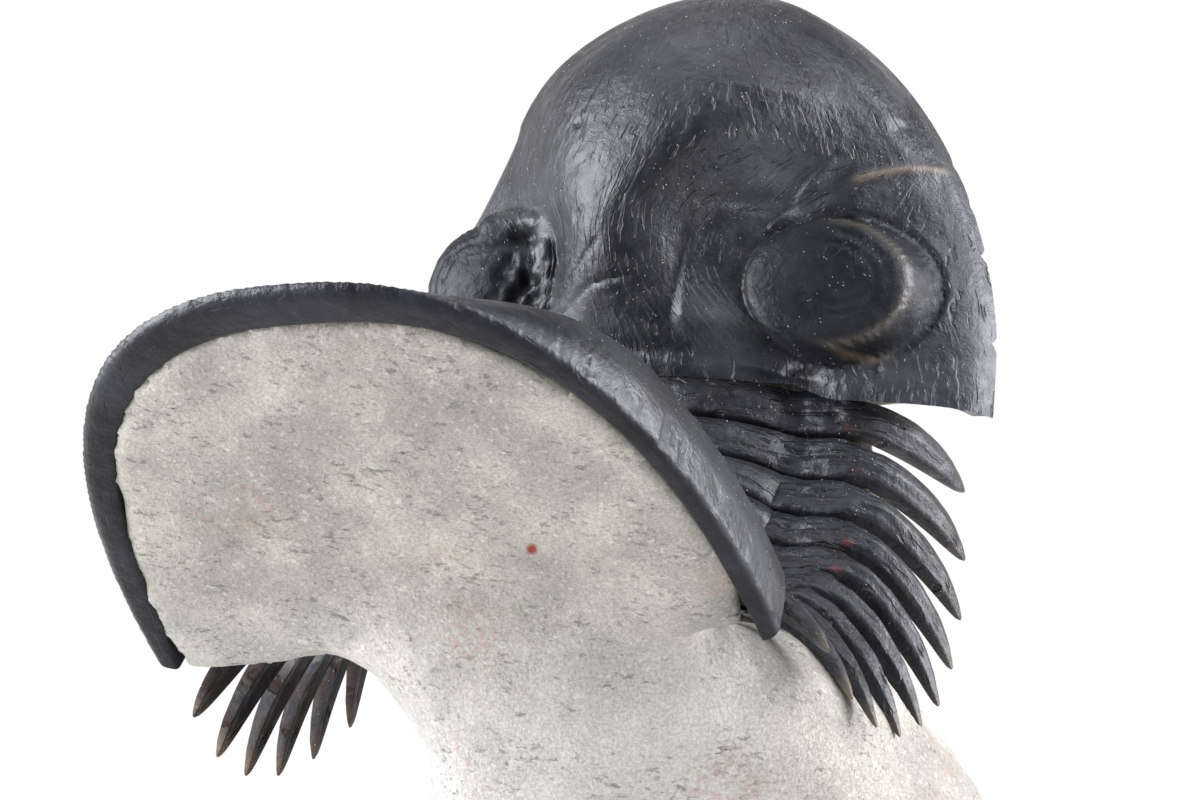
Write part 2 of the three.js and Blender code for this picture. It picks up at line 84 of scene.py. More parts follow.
def bell(offset: Array, half: float) -> Array:
    """A bell curve that is 1 at its middle and about a third at a half width from it."""
    return np.exp(-((offset / half) ** 2))


def spot(x: Array, y: Array, at: Place, reach: Place) -> Array:
    """An oval patch of plan positions that is 1 in its middle and fades outwards."""
    return bell(x - at[0], reach[0]) * bell(y - at[1], reach[1])


def soft_max(a: Array, b: Array, rounding: float) -> Array:
    """The larger of two heights, rounded over about `rounding` millimetres."""
    h = np.clip(0.5 + 0.5 * (a - b) / rounding, 0.0, 1.0)
    return b + (a - b) * h + rounding * h * (1.0 - h)


def power(base: Array, exponent: float) -> Array:
    """A power that keeps the sign of its base."""
    return np.sign(base) * np.abs(base) ** exponent


def curve(x: Array | float, knots: Sequence[tuple[float, float]]) -> Array:
    """A smooth curve through knots.

    Args:
        x: Where the curve is read.
        knots: Pairs of place and value, in rising order of place.

    Returns:
        The values, held constant beyond both ends.
    """
    xs, ys = np.array(knots, dtype=float).T
    slope = np.gradient(ys, xs)
    x = np.clip(x, xs[0], xs[-1])
    k = np.clip(np.searchsorted(xs, x, side="right") - 1, 0, len(xs) - 2)
    span = xs[k + 1] - xs[k]
    s = (x - xs[k]) / span
    rise = ys[k + 1] - ys[k]
    a = slope[k] * span - rise
    b = -slope[k + 1] * span + rise
    return ys[k] + s * rise + s * (1 - s) * (a * (1 - s) + b * s)


class LatticeNoise:
    """A smooth random field in space, made from a lattice of seeded numbers."""

    def __init__(self, seed: int, size: int = 24) -> None:
        """Fill the lattice from a seed."""
        self.size = size
        self.values = np.random.default_rng(seed).uniform(-1.0, 1.0, (size, size, size))

    def at(self, points: Array, scale: float | tuple[float, float, float]) -> Array:
        """Read the field at points, with features about `scale` millimetres wide."""
        q = points / np.array(scale)
        low = np.floor(q).astype(int)
        f = q - low
        f = f * f * (3.0 - 2.0 * f)
        total = np.zeros(points.shape[:-1])
        for corner in range(8):
            step = np.array([(corner >> k) & 1 for k in range(3)])
            weight = np.prod(np.where(step, f, 1.0 - f), axis=-1)
            i = (low + step) % self.size
            total += weight * self.values[i[..., 0], i[..., 1], i[..., 2]]
        return total

    def fractal(self, points: Array, scale: float, octaves: int = 3) -> Array:
        """Add finer and weaker copies of the field to it."""
        return sum(self.at(points + 31.7 * k, scale / 2**k) / 2**k for k in range(octaves))


@dataclass(frozen=True)
class Pose:
    """Where a shield sits: heading from +Y towards +X, pitch lifting its front end."""

    origin: tuple[float, float, float]
    heading: float
    pitch: float
    roll: float

    def rotation(self) -> Array:
        """The turn from the shield's own frame to the part's frame."""
        a, b, c = (math.radians(v) for v in (-self.heading, self.pitch, self.roll))
        turn_z = np.array([[math.cos(a), -math.sin(a), 0], [math.sin(a), math.cos(a), 0], [0, 0, 1]])
        turn_x = np.array([[1, 0, 0], [0, math.cos(b), -math.sin(b)], [0, math.sin(b), math.cos(b)]])
        turn_y = np.array([[math.cos(c), 0, math.sin(c)], [0, 1, 0], [-math.sin(c), 0, math.cos(c)]])
        return turn_z @ turn_x @ turn_y

    def place(self, points: Array) -> Array:
        """Move points from the shield's own frame to the part's frame."""
        return points @ self.rotation().T + np.array(self.origin)

    def local(self, points: Array) -> Array:
        """Move points from the part's frame to the shield's own frame."""
        return (points - np.array(self.origin)) @ self.rotation()


HEAD_POSE = Pose((1.5, 16.2, 37.5), 24.0, 75.0, 0.0)
TAIL_POSE = Pose((-12.74, -13.5, 22.56), 23.4, -40.6, -5.1)


def inset(points: Array, centre: Array, depth: float | Array) -> Array:
    """Pull points towards a centre by a depth."""
    offset = points - centre
    length = np.linalg.norm(offset, axis=-1, keepdims=True)
    return centre + offset * (1.0 - depth / length)


def blurred(field: Array, sigma: float) -> Array:
    """Blur a grid of values over `sigma` cells."""
    reach = int(3 * sigma)
    weights = np.exp(-0.5 * (np.arange(-reach, reach + 1) / sigma) ** 2)
    weights /= weights.sum()
    padded = np.pad(field, reach, mode="edge")
    rows = np.apply_along_axis(np.convolve, 1, padded, weights, "valid")
    return np.apply_along_axis(np.convolve, 0, rows, weights, "valid")


def upward_normals(grid: Array) -> Array:
    """Unit normals of a grid of points, by differences between neighbours, turned upwards."""
    along = np.gradient(grid, axis=0)
    across = np.gradient(grid, axis=1)
    normal = np.cross(along, across)
    length = np.linalg.norm(normal, axis=-1, keepdims=True)
    return normal / np.maximum(length, 1e-9) * np.sign(normal[..., 2:3] + 1e-9)


def linked(name: str, data: bpy.types.ID) -> bpy.types.Object:
    """Make an object of a mesh, lamp or camera and link it to the scene."""
    obj = bpy.data.objects.new(name, data)
    bpy.context.collection.objects.link(obj)
    return obj


def evaluated(obj: bpy.types.Object) -> bpy.types.Mesh:
    """A plain mesh of an object with its modifiers applied."""
    graph = bpy.context.evaluated_depsgraph_get()
    return bpy.data.meshes.new_from_object(obj.evaluated_get(graph))


def add_node(
    tree: bpy.types.NodeTree, kind: str, inputs: dict | Sequence = (), **settings: object
) -> bpy.types.Node:
    """Add a node to a tree.

    Args:
        tree: The tree of a material or of Geometry Nodes.
        kind: The node's type.
        inputs: What its inputs get, in order or by name: a value, an output, or a node's first output.
        **settings: The node's own properties.

    Returns:
        The node.
    """
    node = tree.nodes.new(kind)
    for key, value in settings.items():
        setattr(node, key, value)
    for key, value in inputs.items() if isinstance(inputs, dict) else enumerate(inputs):
        if isinstance(value, bpy.types.Node):
            value = value.outputs[0]
        if isinstance(value, bpy.types.NodeSocket):
            tree.links.new(value, node.inputs[key])
        else:
            node.inputs[key].default_value = value
    return node


def shell_mesh(
    name: str, outer: Array, inner: Array, lay: Array, marks: dict[str, Array]
) -> bpy.types.Object:
    """Make one closed shell between two grids of points.

    Args:
        name: Name of the object and its mesh.
        outer: Grid of points of the outside, in millimetres.
        inner: Grid of points of the inside, with the same rows and columns.
        lay: Grid of pairs: millimetres along and across the surface lines.
        marks: Grids of numbers from 0 to 1 that the material reads by name, as 0 where there is none.

    Returns:
        The object, linked to the scene.
    """
    rows, columns = outer.shape[:2]
    half = rows * columns
    points = np.concatenate([outer.reshape(-1, 3), inner.reshape(-1, 3)]) * MM
    a = (np.arange(rows - 1)[:, None] * columns + np.arange(columns - 1)).ravel()
    b = a + columns
    faces = [np.stack([a, b, b + 1, a + 1], 1), np.stack([half + a, half + a + 1, half + b + 1, half + b], 1)]
    first = np.arange(rows - 1) * columns
    last = first + columns - 1
    faces.append(np.stack([first, half + first, half + first + columns, first + columns], 1))
    faces.append(np.stack([last, last + columns, half + last + columns, half + last], 1))
    front = np.arange(columns - 1)
    rear = (rows - 1) * columns + front
    faces.append(np.stack([front, front + 1, half + front + 1, half + front], 1))
    faces.append(np.stack([rear, half + rear, half + rear + 1, rear + 1], 1))
    mesh = bpy.data.meshes.new(name)
    mesh.from_pydata(points.tolist(), [], np.concatenate(faces).tolist())
    flat_lay = np.tile(lay.reshape(-1, 2), (2, 1))
    layer = mesh.attributes.new("lay", "FLOAT_VECTOR", "POINT")
    layer.data.foreach_set("vector", np.concatenate([flat_lay, np.zeros((2 * half, 1))], 1).ravel())
    whole = {key: np.broadcast_to(values, lay.shape[:2]).ravel() for key, values in marks.items()}
    layers = {key: np.tile(values, 2) for key, values in whole.items()}
    layers["skin"] = np.repeat([1.0, 0.0], half)
    for key, values in layers.items():
        mesh.attributes.new(key, "FLOAT", "POINT").data.foreach_set("value", values)
    return finished(name, mesh)


def finished(name: str, mesh: bpy.types.Mesh) -> bpy.types.Object:
    """Merge doubles, turn the faces outward, smooth the shading and link the object."""
    work = bmesh.new()
    work.from_mesh(mesh)
    bmesh.ops.remove_doubles(work, verts=work.verts, dist=SAME_PLACE)
    bmesh.ops.dissolve_degenerate(work, edges=work.edges, dist=NO_LENGTH)
    bmesh.ops.recalc_face_normals(work, faces=work.faces)
    work.to_mesh(mesh)
    work.free()
    mesh.shade_smooth()
    mesh.set_sharp_from_angle(angle=SHARP_EDGE)
    return linked(name, mesh)


def near_line(x: Array, y: Array, line: Sequence[Place], half: float) -> Array:
    """How much points belong to a line drawn through plan positions: 1 on it, fading outwards."""
    best = np.full(x.shape, 1e9)
    for (ax, ay), (bx, by) in zip(line, line[1:]):
        dx, dy = bx - ax, by - ay
        s = np.clip(((x - ax) * dx + (y - ay) * dy) / (dx * dx + dy * dy), 0, 1)
        best = np.minimum(best, np.hypot(x - ax - s * dx, y - ay - s * dy))
    return bell(best, half)


@dataclass(frozen=True)
class HeadSize:
    """Sizes of the head shield in millimetres, with X to its right and Y towards its front.

    A stretch holds the four places that `window` reads. Radii of an eye count from its middle,
    with 1 on its wall.
    """

    half_width: float = 21.5
    length: float = 28.3
    point: float = 1.12
    skew: float = 0.045
    rear_reach: float = 1.0
    rim: float = 0.5
    shell: float = 1.0
    filling_gap: float = 0.12
    filling_floor: float = 0.25
    cheek: float = 5.9
    swell: float = 1.6
    foot: float = 2.4
    ball: float = 15.0
    ball_y: float = 13.0
    wrap_rear: float = 1.8
    wrap_front: float = 6.0
    furrow_out: float = 0.9
    furrow_half: float = 1.25
    furrow_depth: float = 1.1
    furrow_y: Stretch = (1.0, 4.0, 11.5, 15.0)
    blur: float = 2.3
    blur_reach: float = 5.0
    blur_y: Stretch = (9.0, 13.0, 21.0, 26.0)
    ring_y: float = 1.5
    ring_half: float = 0.45
    ring_depth: float = 0.45
    bridge: float = 3.0
    bridge_at: Place = (9.6, 13.0)
    bridge_reach: Place = (4.4, 3.2)
    eye_x: float = 11.7
    eye_x_left: float = 13.2
    eye_y: float = 6.2
    eye_half_width: float = 5.6
    eye_half_width_left: float = 4.3
    eye_half_length: float = 4.7
    eye_lid: float = 8.6
    eye_lid_left: float = 9.1
    eye_lean: float = 0.34
    eye_lean_left: float = 0.05
    eye_rim: float = 0.885
    saddle: float = 10.2
    saddle_fall: float = 0.5
    saddle_x: Stretch = (-1.0, 3.0, 9.0, 15.0)
    saddle_y: Stretch = (-1.0, 3.5, 10.5, 15.0)
    saddle_left: float = 9.2
    saddle_left_rise: float = 0.12
    saddle_left_x: Stretch = (4.0, 8.0, 13.0, 18.0)
    saddle_left_y: Stretch = (0.0, 3.0, 10.0, 15.0)


@dataclass(frozen=True)
class Scar:
    """A groove or ridge drawn through plan positions of the head: its half width and its rise."""

    line: tuple[Place, ...]
    half: float
    rise: float


class HeadShield:
    """The domed shield of the head, with the glabella, the cheeks and both eyes."""

    ROWS = 172
    LAST_ROW = 86.5  # degrees round the margin
    DOME_COLUMNS = 46
    FOOT_COLUMNS = 14
    CHEEK_COLUMNS = 52
    CENTRE = np.array([0.0, 11.0, -6.0])
    STEP = 0.12
    GRID_X = (-24.0, 24.0)
    GRID_Y = (-4.0, 31.0)
    # Half widths of the glabella on the right and on the left, its heights and its middle line,
    # by their place along the head.
    HALF = (
        (0, 10.6), (2, 10.6), (3.5, 9.2), (5, 7.8), (6.5, 7.1), (8, 6.9),
        (10, 7.1), (12, 8.6), (13.5, 10.1), (15, 11.9), (16.5, 13.2), (18, 14.0),
    )
    HALF_LEFT = (
        (0, 10.6), (2, 10.6), (3.5, 9.2), (5, 7.8), (6.5, 7.1), (8, 6.9),
        (9.5, 7.7), (11, 9.6), (12.5, 11.2), (14, 12.2), (16, 13.3), (18, 14.0),
    )
    TOP = ((0, 8.2), (2, 9.9), (4, 11.8), (6, 13.2), (8, 14.1), (10, 14.7), (13, 15.0))
    MIDDLE = ((0, -0.7), (3, -1.4), (6, -2.0), (9, -2.0), (12, -1.2), (15, -0.3), (18, 0.0))
    # An eye's section by radius, and its rings: radius, half width and rise.
    EYE = (
        (0, 0.45), (0.5, 0.3), (0.75, 0.0), (0.86, -0.25), (0.9, -0.45), (0.94, -0.85),
        (0.98, -1.5), (1.02, -2.5), (1.07, -4.2), (1.2, -9.0), (3.0, -80.0),
    )
    LID_RINGS = ((0.885, 0.02, 0.1), (0.92, 0.02, -0.12))
    SEAT_RINGS = ((1.13, 0.03, -0.2), (1.2, 0.04, 0.12))
    ARC_FREQUENCY = 43.0
    ARC_DEPTH = 0.1
    ARC_STRETCH = (0.25, 0.5, 0.8, 0.86)
    CHEEK_LINE = Scar(((12.2, 13.6), (14.4, 14.6), (16.6, 15.3)), 0.34, 0.26)
    EYE_LINE = Scar(((12.4, 1.9), (13.8, 1.6), (15.3, 1.9)), 0.22, 0.22)
    SCARS = (
        Scar(((-8.6, 4.3), (-6.6, 4.6), (-4.4, 5.9), (-2.6, 7.6)), 0.1, -0.26),
        Scar(((-8.0, 5.3), (-6.2, 6.0), (-5.2, 6.5)), 0.1, -0.2),
        Scar(((-7.2, 3.6), (-5.4, 3.9), (-3.4, 5.0), (-0.4, 5.6)), 0.14, -0.24),
        Scar(((-7.6, 3.2), (-6.0, 3.1), (-4.6, 3.9)), 0.09, -0.16),
        Scar(((-4.4, 8.9), (-3.6, 9.9)), 0.11, -0.2),
        Scar(((-3.4, 13.6), (-5.4, 12.1)), 0.14, -0.16),
        Scar(((-4.6, 13.9), (-5.6, 13.1)), 0.12, -0.12),
        Scar(((-2.4, 10.3), (-1.5, 11.4)), 0.14, -0.12),
        Scar(((7.4, 9.8), (8.7, 11.8), (10.8, 14.4)), 0.24, 0.28),
        Scar(((8.0, 9.2), (9.4, 11.3), (11.4, 13.8)), 0.5, -0.16),
        CHEEK_LINE,
        EYE_LINE,
        Scar(((8.6, 0.9), (10.6, 1.3), (12.2, 0.8)), 0.3, 0.25),
    )
    # Pits: place, radius and depth. Chips of the margin: place along the head, half width and depth.
    PITS = (
        (-9.8, 9.1, 0.9, 0.8), (-9.2, 6.6, 0.7, 0.5), (-10.6, 7.4, 0.5, 0.4),
        (-8.8, 4.9, 0.6, 0.5), (-9.9, 5.7, 0.4, 0.4), (-5.28, 15.67, 0.3, 0.4),
        (-2.1, 12.4, 0.2, 0.2), (14.6, 1.1, 0.35, 0.35), (15.6, 4.2, 0.2, 0.2),
    )
    CHIPS = ((9.9, 0.28, 0.24), (9.1, 0.14, 0.08), (4.0, 0.22, 0.18), (13.4, 0.3, 0.07), (16.2, 0.4, 0.07))
    # Uneven patches: place, reach, the width of their lumps and their strength.
    CRUMPLED = ((12.5, 0.6), (4.2, 1.5), 0.9, 0.16)
    HOLLOW = ((-9.8, 6.8), (2.0, 3.2), 0.6, 0.5)
    # Pale patches: partly film of stone left in hollows, partly painted light on the lit flanks beside the
    # eyes and the right margin. Place, reach and strength, and their stretch along the right margin.
    FILM_AND_PAINTED_LIGHT = (
        ((5.4, 2.8), (2.4, 2.4), 0.9),
        ((7.4, 12.8), (2.6, 2.0), 0.8),
        ((-11.5, 9.5), (3.0, 2.6), 0.7),
        ((13.5, 1.0), (2.5, 1.2), 0.5),
        ((-5.5, 3.0), (2.5, 2.0), 0.5),
    )
    # Steps in X and Y to the places that the lining keeps clear of.
    NEARBY = (
        (0, 0), (1.1, 0), (-1.1, 0), (0, 1.1), (0, -1.1),
        (0.77, 0.77), (0.77, -0.77), (-0.77, 0.77), (-0.77, -0.77),
    )

    def __init__(self, size: HeadSize = HeadSize()) -> None:
        """Keep the sizes and make the noise that roughens the shell."""
        self.size = size
        self.noise = LatticeNoise(11)
        self.field = self.softened()

    def ball(self, y: Array) -> Array:
        """Radius of the glabella's front ball at a place along the head."""
        s = self.size
        return np.sqrt(np.maximum(0.0, s.ball**2 - (y - s.ball_y) ** 2))

    def glabella_half(self, y: Array, sign: Array | float) -> Array:
        """Half the width of the glabella at a place along the head, on the side with this sign."""
        half = np.where(np.asarray(sign) < 0, curve(y, self.HALF_LEFT), curve(y, self.HALF))
        return np.where(y < 18, half, np.maximum(self.ball(y), 1e-3))

    def out(self, x: Array, y: Array) -> Array:
        """How far out a plan position is: 0 in the rear middle and 1 on the margin."""
        s = self.size
        e = 2 / s.point
        return (np.abs(x / s.half_width) ** e + np.abs(y / s.length) ** e) ** (1 / e)

    def softened(self) -> Array:
        """Heights on a fine grid, with the edge between the frontal lobe and the cheeks blurred."""
        s = self.size
        x, y = np.meshgrid(np.arange(*self.GRID_X, self.STEP), np.arange(*self.GRID_Y, self.STEP))
        sharp = self.creased(x, y)
        out = self.out(x, y)
        off = x - curve(y, self.MIDDLE)
        near = np.exp(-(((np.abs(off) - self.glabella_half(y, off)) / s.blur_reach) ** 4))
        near = near * window(y, s.blur_y) * (1 - smooth(out, 0.9, 0.99))
        inside = (out < 1.0).astype(float)
        cells = s.blur / self.STEP
        soft = blurred(sharp * inside, cells) / np.maximum(blurred(inside, cells), 0.05)
        return sharp + (soft - sharp) * near

    def height(self, x: Array, y: Array) -> Array:
        """Height of the smooth head without its eyes over its margin plane, read from the fine grid."""
        rows, columns = self.field.shape
        i = np.clip((y - self.GRID_Y[0]) / self.STEP, 0, rows - 1.001)
        j = np.clip((x - self.GRID_X[0]) / self.STEP, 0, columns - 1.001)
        a, b = i.astype(int), j.astype(int)
        u, v = i - a, j - b
        low = self.field[a, b] * (1 - v) + self.field[a, b + 1] * v
        return low * (1 - u) + (self.field[a + 1, b] * (1 - v) + self.field[a + 1, b + 1] * v) * u

    def creased(self, x: Array, y: Array) -> Array:
        """Height of the head where the glabella, the cheeks and the furrows between them simply meet."""
        s = self.size
        shoulder = np.maximum(0.0, 1 - np.minimum(1.0, self.out(x, y)) ** 3) ** 0.45
        top = np.where(y < s.ball_y, curve(y, self.TOP), self.ball(y))
        off = x - curve(y, self.MIDDLE)
        half = self.glabella_half(y, off)
        glabella = top * np.sqrt(np.maximum(0.0, 1 - (off / half) ** 2))
        cheek = (s.cheek + s.swell * smooth(y, 10.5, 16.0)) * shoulder
        wrap = s.wrap_rear + (s.wrap_front - s.wrap_rear) * smooth(y, 9.5, 18.0)
        groove = s.furrow_depth * bell(np.abs(off) - half - s.furrow_out, s.furrow_half)
        groove = groove * window(y, s.furrow_y)
        bridge = s.bridge * spot(np.abs(x), y, s.bridge_at, s.bridge_reach)
        return (soft_max(glabella, cheek + bridge, wrap) - groove) * np.minimum(1.0, 4 * shoulder)

    def eye_reach(self, x: Array, y: Array) -> tuple[Array, Array]:
        """Distance from the eye's middle, 1 on its wall, and how much a point lies on its outer side."""
        s = self.size
        middle = np.where(x < 0, s.eye_x_left, s.eye_x)
        half = np.where(x < 0, s.eye_half_width_left, s.eye_half_width)
        dx = (np.abs(x) - middle) / half
        dy = (y - s.eye_y) / s.eye_half_length
        r = np.hypot(dx, dy)
        return r, smooth(dx / np.maximum(r, 0.05), -0.5, 0.3)

    def saddled(self, x: Array, y: Array) -> Array:
        """Height of the head with its neck ring and the saddles between the glabella and the eyes."""
        s = self.size
        ring = bell(y - s.ring_y + 0.01 * x * x, s.ring_half) * (1 - smooth(np.abs(x), 9.5, 12.0))
        right = (s.saddle - s.saddle_fall * (x - 4.0)) * window(y, s.saddle_y) * window(x, s.saddle_x)
        left = s.saddle_left + s.saddle_left_rise * (y - 6.0)
        left = left * window(-x, s.saddle_left_x) * window(y, s.saddle_left_y)
        return soft_max(soft_max(self.height(x, y) - s.ring_depth * ring, right, 1.8), left, 1.2)

    def detailed(self, x: Array, y: Array) -> Array:
        """Height of the head with its saddles, eyes, scars and pits."""
        s = self.size
        r, outer = self.eye_reach(x, y)
        beyond = np.abs(x) - s.eye_x
        lid = np.where(x < 0, s.eye_lid_left - s.eye_lean_left * beyond, s.eye_lid - s.eye_lean * beyond)
        lid = lid + curve(r, self.EYE) + np.where(x < 0, 0.5 - 0.9 * r * r, 0.0)
        lid = lid + outer * sum(rise * bell(r - at, half) for at, half, rise in self.LID_RINGS)
        wave = np.sin(r * self.ARC_FREQUENCY + 2.5 * self.noise.at(np.stack([x, y, 0 * x], -1), 1.7))
        lid = lid + self.ARC_DEPTH * wave * window(r, self.ARC_STRETCH) * smooth(outer, 0.5, 1.0)
        seat = sum(rise * bell(r - at, half) for at, half, rise in self.SEAT_RINGS)
        height = soft_max(self.saddled(x, y) + seat * outer * smooth(y, 1.0, 3.0), lid, 0.4)
        for scar in self.SCARS:
            height = height + scar.rise * near_line(x, y, scar.line, scar.half)
        for px, py, radius, depth in self.PITS:
            height = height - depth * np.exp(-(((x - px) ** 2 + (y - py) ** 2) / radius**2) ** 1.5)
        return height

    def plan(self) -> tuple[Array, Array]:
        """Plan positions in rows across the head, with columns that follow the glabella's sides."""
        s = self.size
        beta = np.radians(np.linspace(0, self.LAST_ROW, self.ROWS + 1))
        y = s.length * np.sin(beta) ** s.point
        margin = s.half_width * np.cos(beta) ** s.point
        middle = curve(y, self.MIDDLE)
        dome, foot, cheek = (
            np.linspace(0, 1, count + 1)[1:]
            for count in (self.DOME_COLUMNS, self.FOOT_COLUMNS, self.CHEEK_COLUMNS)
        )
        dome = np.sin(math.pi / 2 * dome)
        cheek = np.sin(math.pi / 2 * cheek) ** 0.92
        sides = []
        for sign in (-1, 1):
            half = self.glabella_half(y, sign)
            room = margin - sign * middle
            scale = np.minimum(1.0, 0.8 * room / (half + s.foot))
            inside = scale * (half + s.foot)
            steps = [
                np.outer(half * scale, dome),
                scale[:, None] * (half[:, None] + s.foot * foot[None, :]),
                inside[:, None] + np.outer(room - inside, cheek),
            ]
            sides.append(middle[:, None] + sign * np.concatenate(steps, 1))
        x = np.concatenate([sides[0][:, ::-1], middle[:, None], sides[1]], 1)
        y = np.broadcast_to(y[:, None], x.shape)
        chips = sum(deep * bell(y - at, wide) for at, wide, deep in self.CHIPS)
        x = x - smooth(x / margin[:, None], 0.93, 1.0) * chips
        return x, y - s.rear_reach * smooth(np.abs(x), 8.5, 12.5) * (1 - smooth(y, 0.0, 5.0))

    def placed(self, points: Array) -> Array:
        """Draw the left margin in a little, lean the front end to the right and stand the head up."""
        leaned = points.copy()
        x, y = points[..., 0], points[..., 1]
        leaned[..., 0] *= 1 - 0.05 * smooth(-x, 9.0, 16.0) * bell(y - 14.5, 4.5)
        leaned[..., 0] += self.size.skew * y
        return HEAD_POSE.place(leaned)

    def lining(self, x: Array, y: Array, depth: float) -> Array:
        """The inner side of the shell: the lowest height nearby, moved in by a depth."""
        floor = np.minimum.reduce([self.height(x + dx, y + dy) for dx, dy in self.NEARBY])
        return inset(np.stack([x, y, floor], -1), self.CENTRE, depth)

    def filling(self) -> bpy.types.Object:
        """Build the block of stone that fills the head from its inner side down to its margin plane."""
        s = self.size
        x, y = (grid[::4, ::4] for grid in self.plan())
        y = y + 1.2 * (1 - smooth(y, 0.0, 6.0))
        top = self.lining(x, y, s.shell + s.filling_gap)
        top[..., 2] = np.maximum(top[..., 2], s.filling_floor + 0.01)
        flat = top.copy()
        flat[..., 2] = s.filling_floor
        return shell_mesh("head_filling", self.placed(top), self.placed(flat), np.stack([x, y], -1), {})

    def marks(self, x: Array, y: Array) -> dict[str, Array]:
        """Where the head's lens bands, tan lines and pale patches lie; the pale patches are partly film in
        hollows, partly painted light.
        """
        s = self.size
        r, outer = self.eye_reach(x, y)
        lens = window(r, (0.9, 0.92, 1.04, 1.07)) * outer
        lens = np.maximum(lens, 0.7 * (1 - smooth(r, 0.86, 0.9)))
        tan = 0.34 * near_line(x, y, self.CHEEK_LINE.line, 0.24)
        tan = tan + 0.3 * near_line(x, y, self.EYE_LINE.line, 0.15)
        tan = tan + 0.15 * bell(r - s.eye_rim, 0.035) * smooth(outer, 0.4, 1.0) * (x > 0)
        # Pale film in hollows, with painted light on the flanks beside the eyes and a painted lit band along
        # the right margin.
        film = sum(strength * spot(x, y, at, reach) for at, reach, strength in self.FILM_AND_PAINTED_LIGHT)
        film = film * smooth(r, 1.0, 1.2) + 0.3 * smooth(x, 14.5, 18.0)
        return {"lens": lens, "tan": np.clip(tan, 0, 1), "film": np.clip(film, 0, 1)}

    def build(self) -> bpy.types.Object:
        """Build the closed shell of the head."""
        s = self.size
        x, y = self.plan()
        out = self.out(x, y)
        outer = np.stack([x, y, self.detailed(x, y) + s.rim * out], -1)
        inner = self.lining(x, y, s.shell)
        normal = upward_normals(outer)
        roof = 1 - 0.75 * (1 - smooth(self.eye_reach(x, y)[0], 1.02, 1.1))
        rough = (0.045 * self.noise.fractal(outer, 2.4) + 0.12 * self.noise.at(outer + 9.0, 6.0)) * roof
        for shift, (at, reach, width, strength) in ((3.0, self.CRUMPLED), (7.0, self.HOLLOW)):
            rough = rough + strength * self.noise.at(outer + shift, width) * spot(x, y, at, reach)
        outer = outer + normal * (rough * np.clip(6 * (1 - out), 0.0, 1.0))[..., None]
        widest = np.linalg.norm(np.diff(outer[self.ROWS // 2], axis=0), axis=-1)
        across = np.concatenate([[0.0], np.cumsum(widest)])
        along = np.cumsum(np.linalg.norm(np.diff(outer, axis=0, prepend=outer[:1]), axis=-1), axis=0)
        lay = np.stack([along, np.broadcast_to(across, along.shape)], -1)
        return shell_mesh("head_shell", self.placed(outer), self.placed(inner), lay, self.marks(x, y))


class Sweep:
    """The bent line of the thorax, from the head's rear edge to the tail's front edge."""

    TAIL_STEP = 3.0

    def __init__(self) -> None:
        """Work out the bend between the two shields."""
        self.head_turn = HEAD_POSE.rotation()
        self.tail_turn = TAIL_POSE.rotation()
        self.start = np.array(HEAD_POSE.origin)
        self.end = np.array(TAIL_POSE.origin) + self.TAIL_STEP * self.tail_turn[:, 2]
        self.bend = math.radians(HEAD_POSE.pitch - TAIL_POSE.pitch)
        chord = float(np.linalg.norm(self.start - self.end))
        self.radius = chord / (2 * math.sin(self.bend / 2))
        self.length = self.radius * self.bend
        self.pull = 4 * math.tan(self.bend / 4) * self.radius
        turn = self.head_turn.T @ self.tail_turn
        self.angle = math.acos((np.trace(turn) - 1) / 2)
        axis = np.array([turn[2, 1] - turn[1, 2], turn[0, 2] - turn[2, 0], turn[1, 0] - turn[0, 1]])
        self.axis = axis / np.linalg.norm(axis)

    def turned(self, vectors: Array, s: Array) -> Array:
        """Turn vectors from the head's frame by a share of the whole bend."""
        angle = (self.angle * s)[..., None]
        axis = np.broadcast_to(self.axis, vectors.shape)
        dot = np.sum(vectors * axis, -1, keepdims=True)
        spun = vectors * np.cos(angle) + np.cross(axis, vectors) * np.sin(angle)
        spun = spun + axis * dot * (1 - np.cos(angle))
        return spun @ self.head_turn.T

    def at(self, t: Array, x: Array, z: Array) -> Array:
        """Points of the thorax: t runs from head to tail, x is to the right, z out of the back."""
        t, x, z = np.broadcast_arrays(t, x, z)
        s = np.clip(t, 0, 1)
        back = np.array([0.0, -1.0, 0.0])
        start_pull = self.pull * (self.head_turn @ back)
        end_pull = self.pull * (self.tail_turn @ back)
        s1 = s[..., None]
        line = (2 * s1**3 - 3 * s1**2 + 1) * self.start + (s1**3 - 2 * s1**2 + s1) * start_pull
        line = line + (3 * s1**2 - 2 * s1**3) * self.end + (s1**3 - s1**2) * end_pull
        local = np.stack([x, -(t - s) * self.length, z], -1)
        return line + self.turned(local, s)


@dataclass(frozen=True)
class SegmentSize:
    """Sizes of a thoracic segment in millimetres and degrees."""

    count: int = 10
    gap: float = 0.3
    reach: float = 13.6
    reach_swell: float = 3.2
    reach_rise: float = 0.9
    spine: float = 9.6
    curl: float = 17.0
    swing: float = 1.3
    droop_front: float = 68.0
    droop_rear_right: float = 44.0
    droop_rear_left: float = 74.0
    thick: float = 1.2
    crest: float = 0.35
    keel: float = 0.3
    blade: float = 0.7
    furrow_axial: float = 0.28
    furrow_outer: float = 0.2
    furrow_pleural: float = 0.3
    red_root: tuple[float, ...] = (0.8, 0.2, 0.0, 0.5, 0.7, 0.0, 0.0, 0.0, 0.0, 0.0)
    tip_stain: tuple[float, ...] = (0.05, 0.1, 0.1, 0.25, 0.1, 0.15, 0.2, 0.3, 0.35, 0.2)


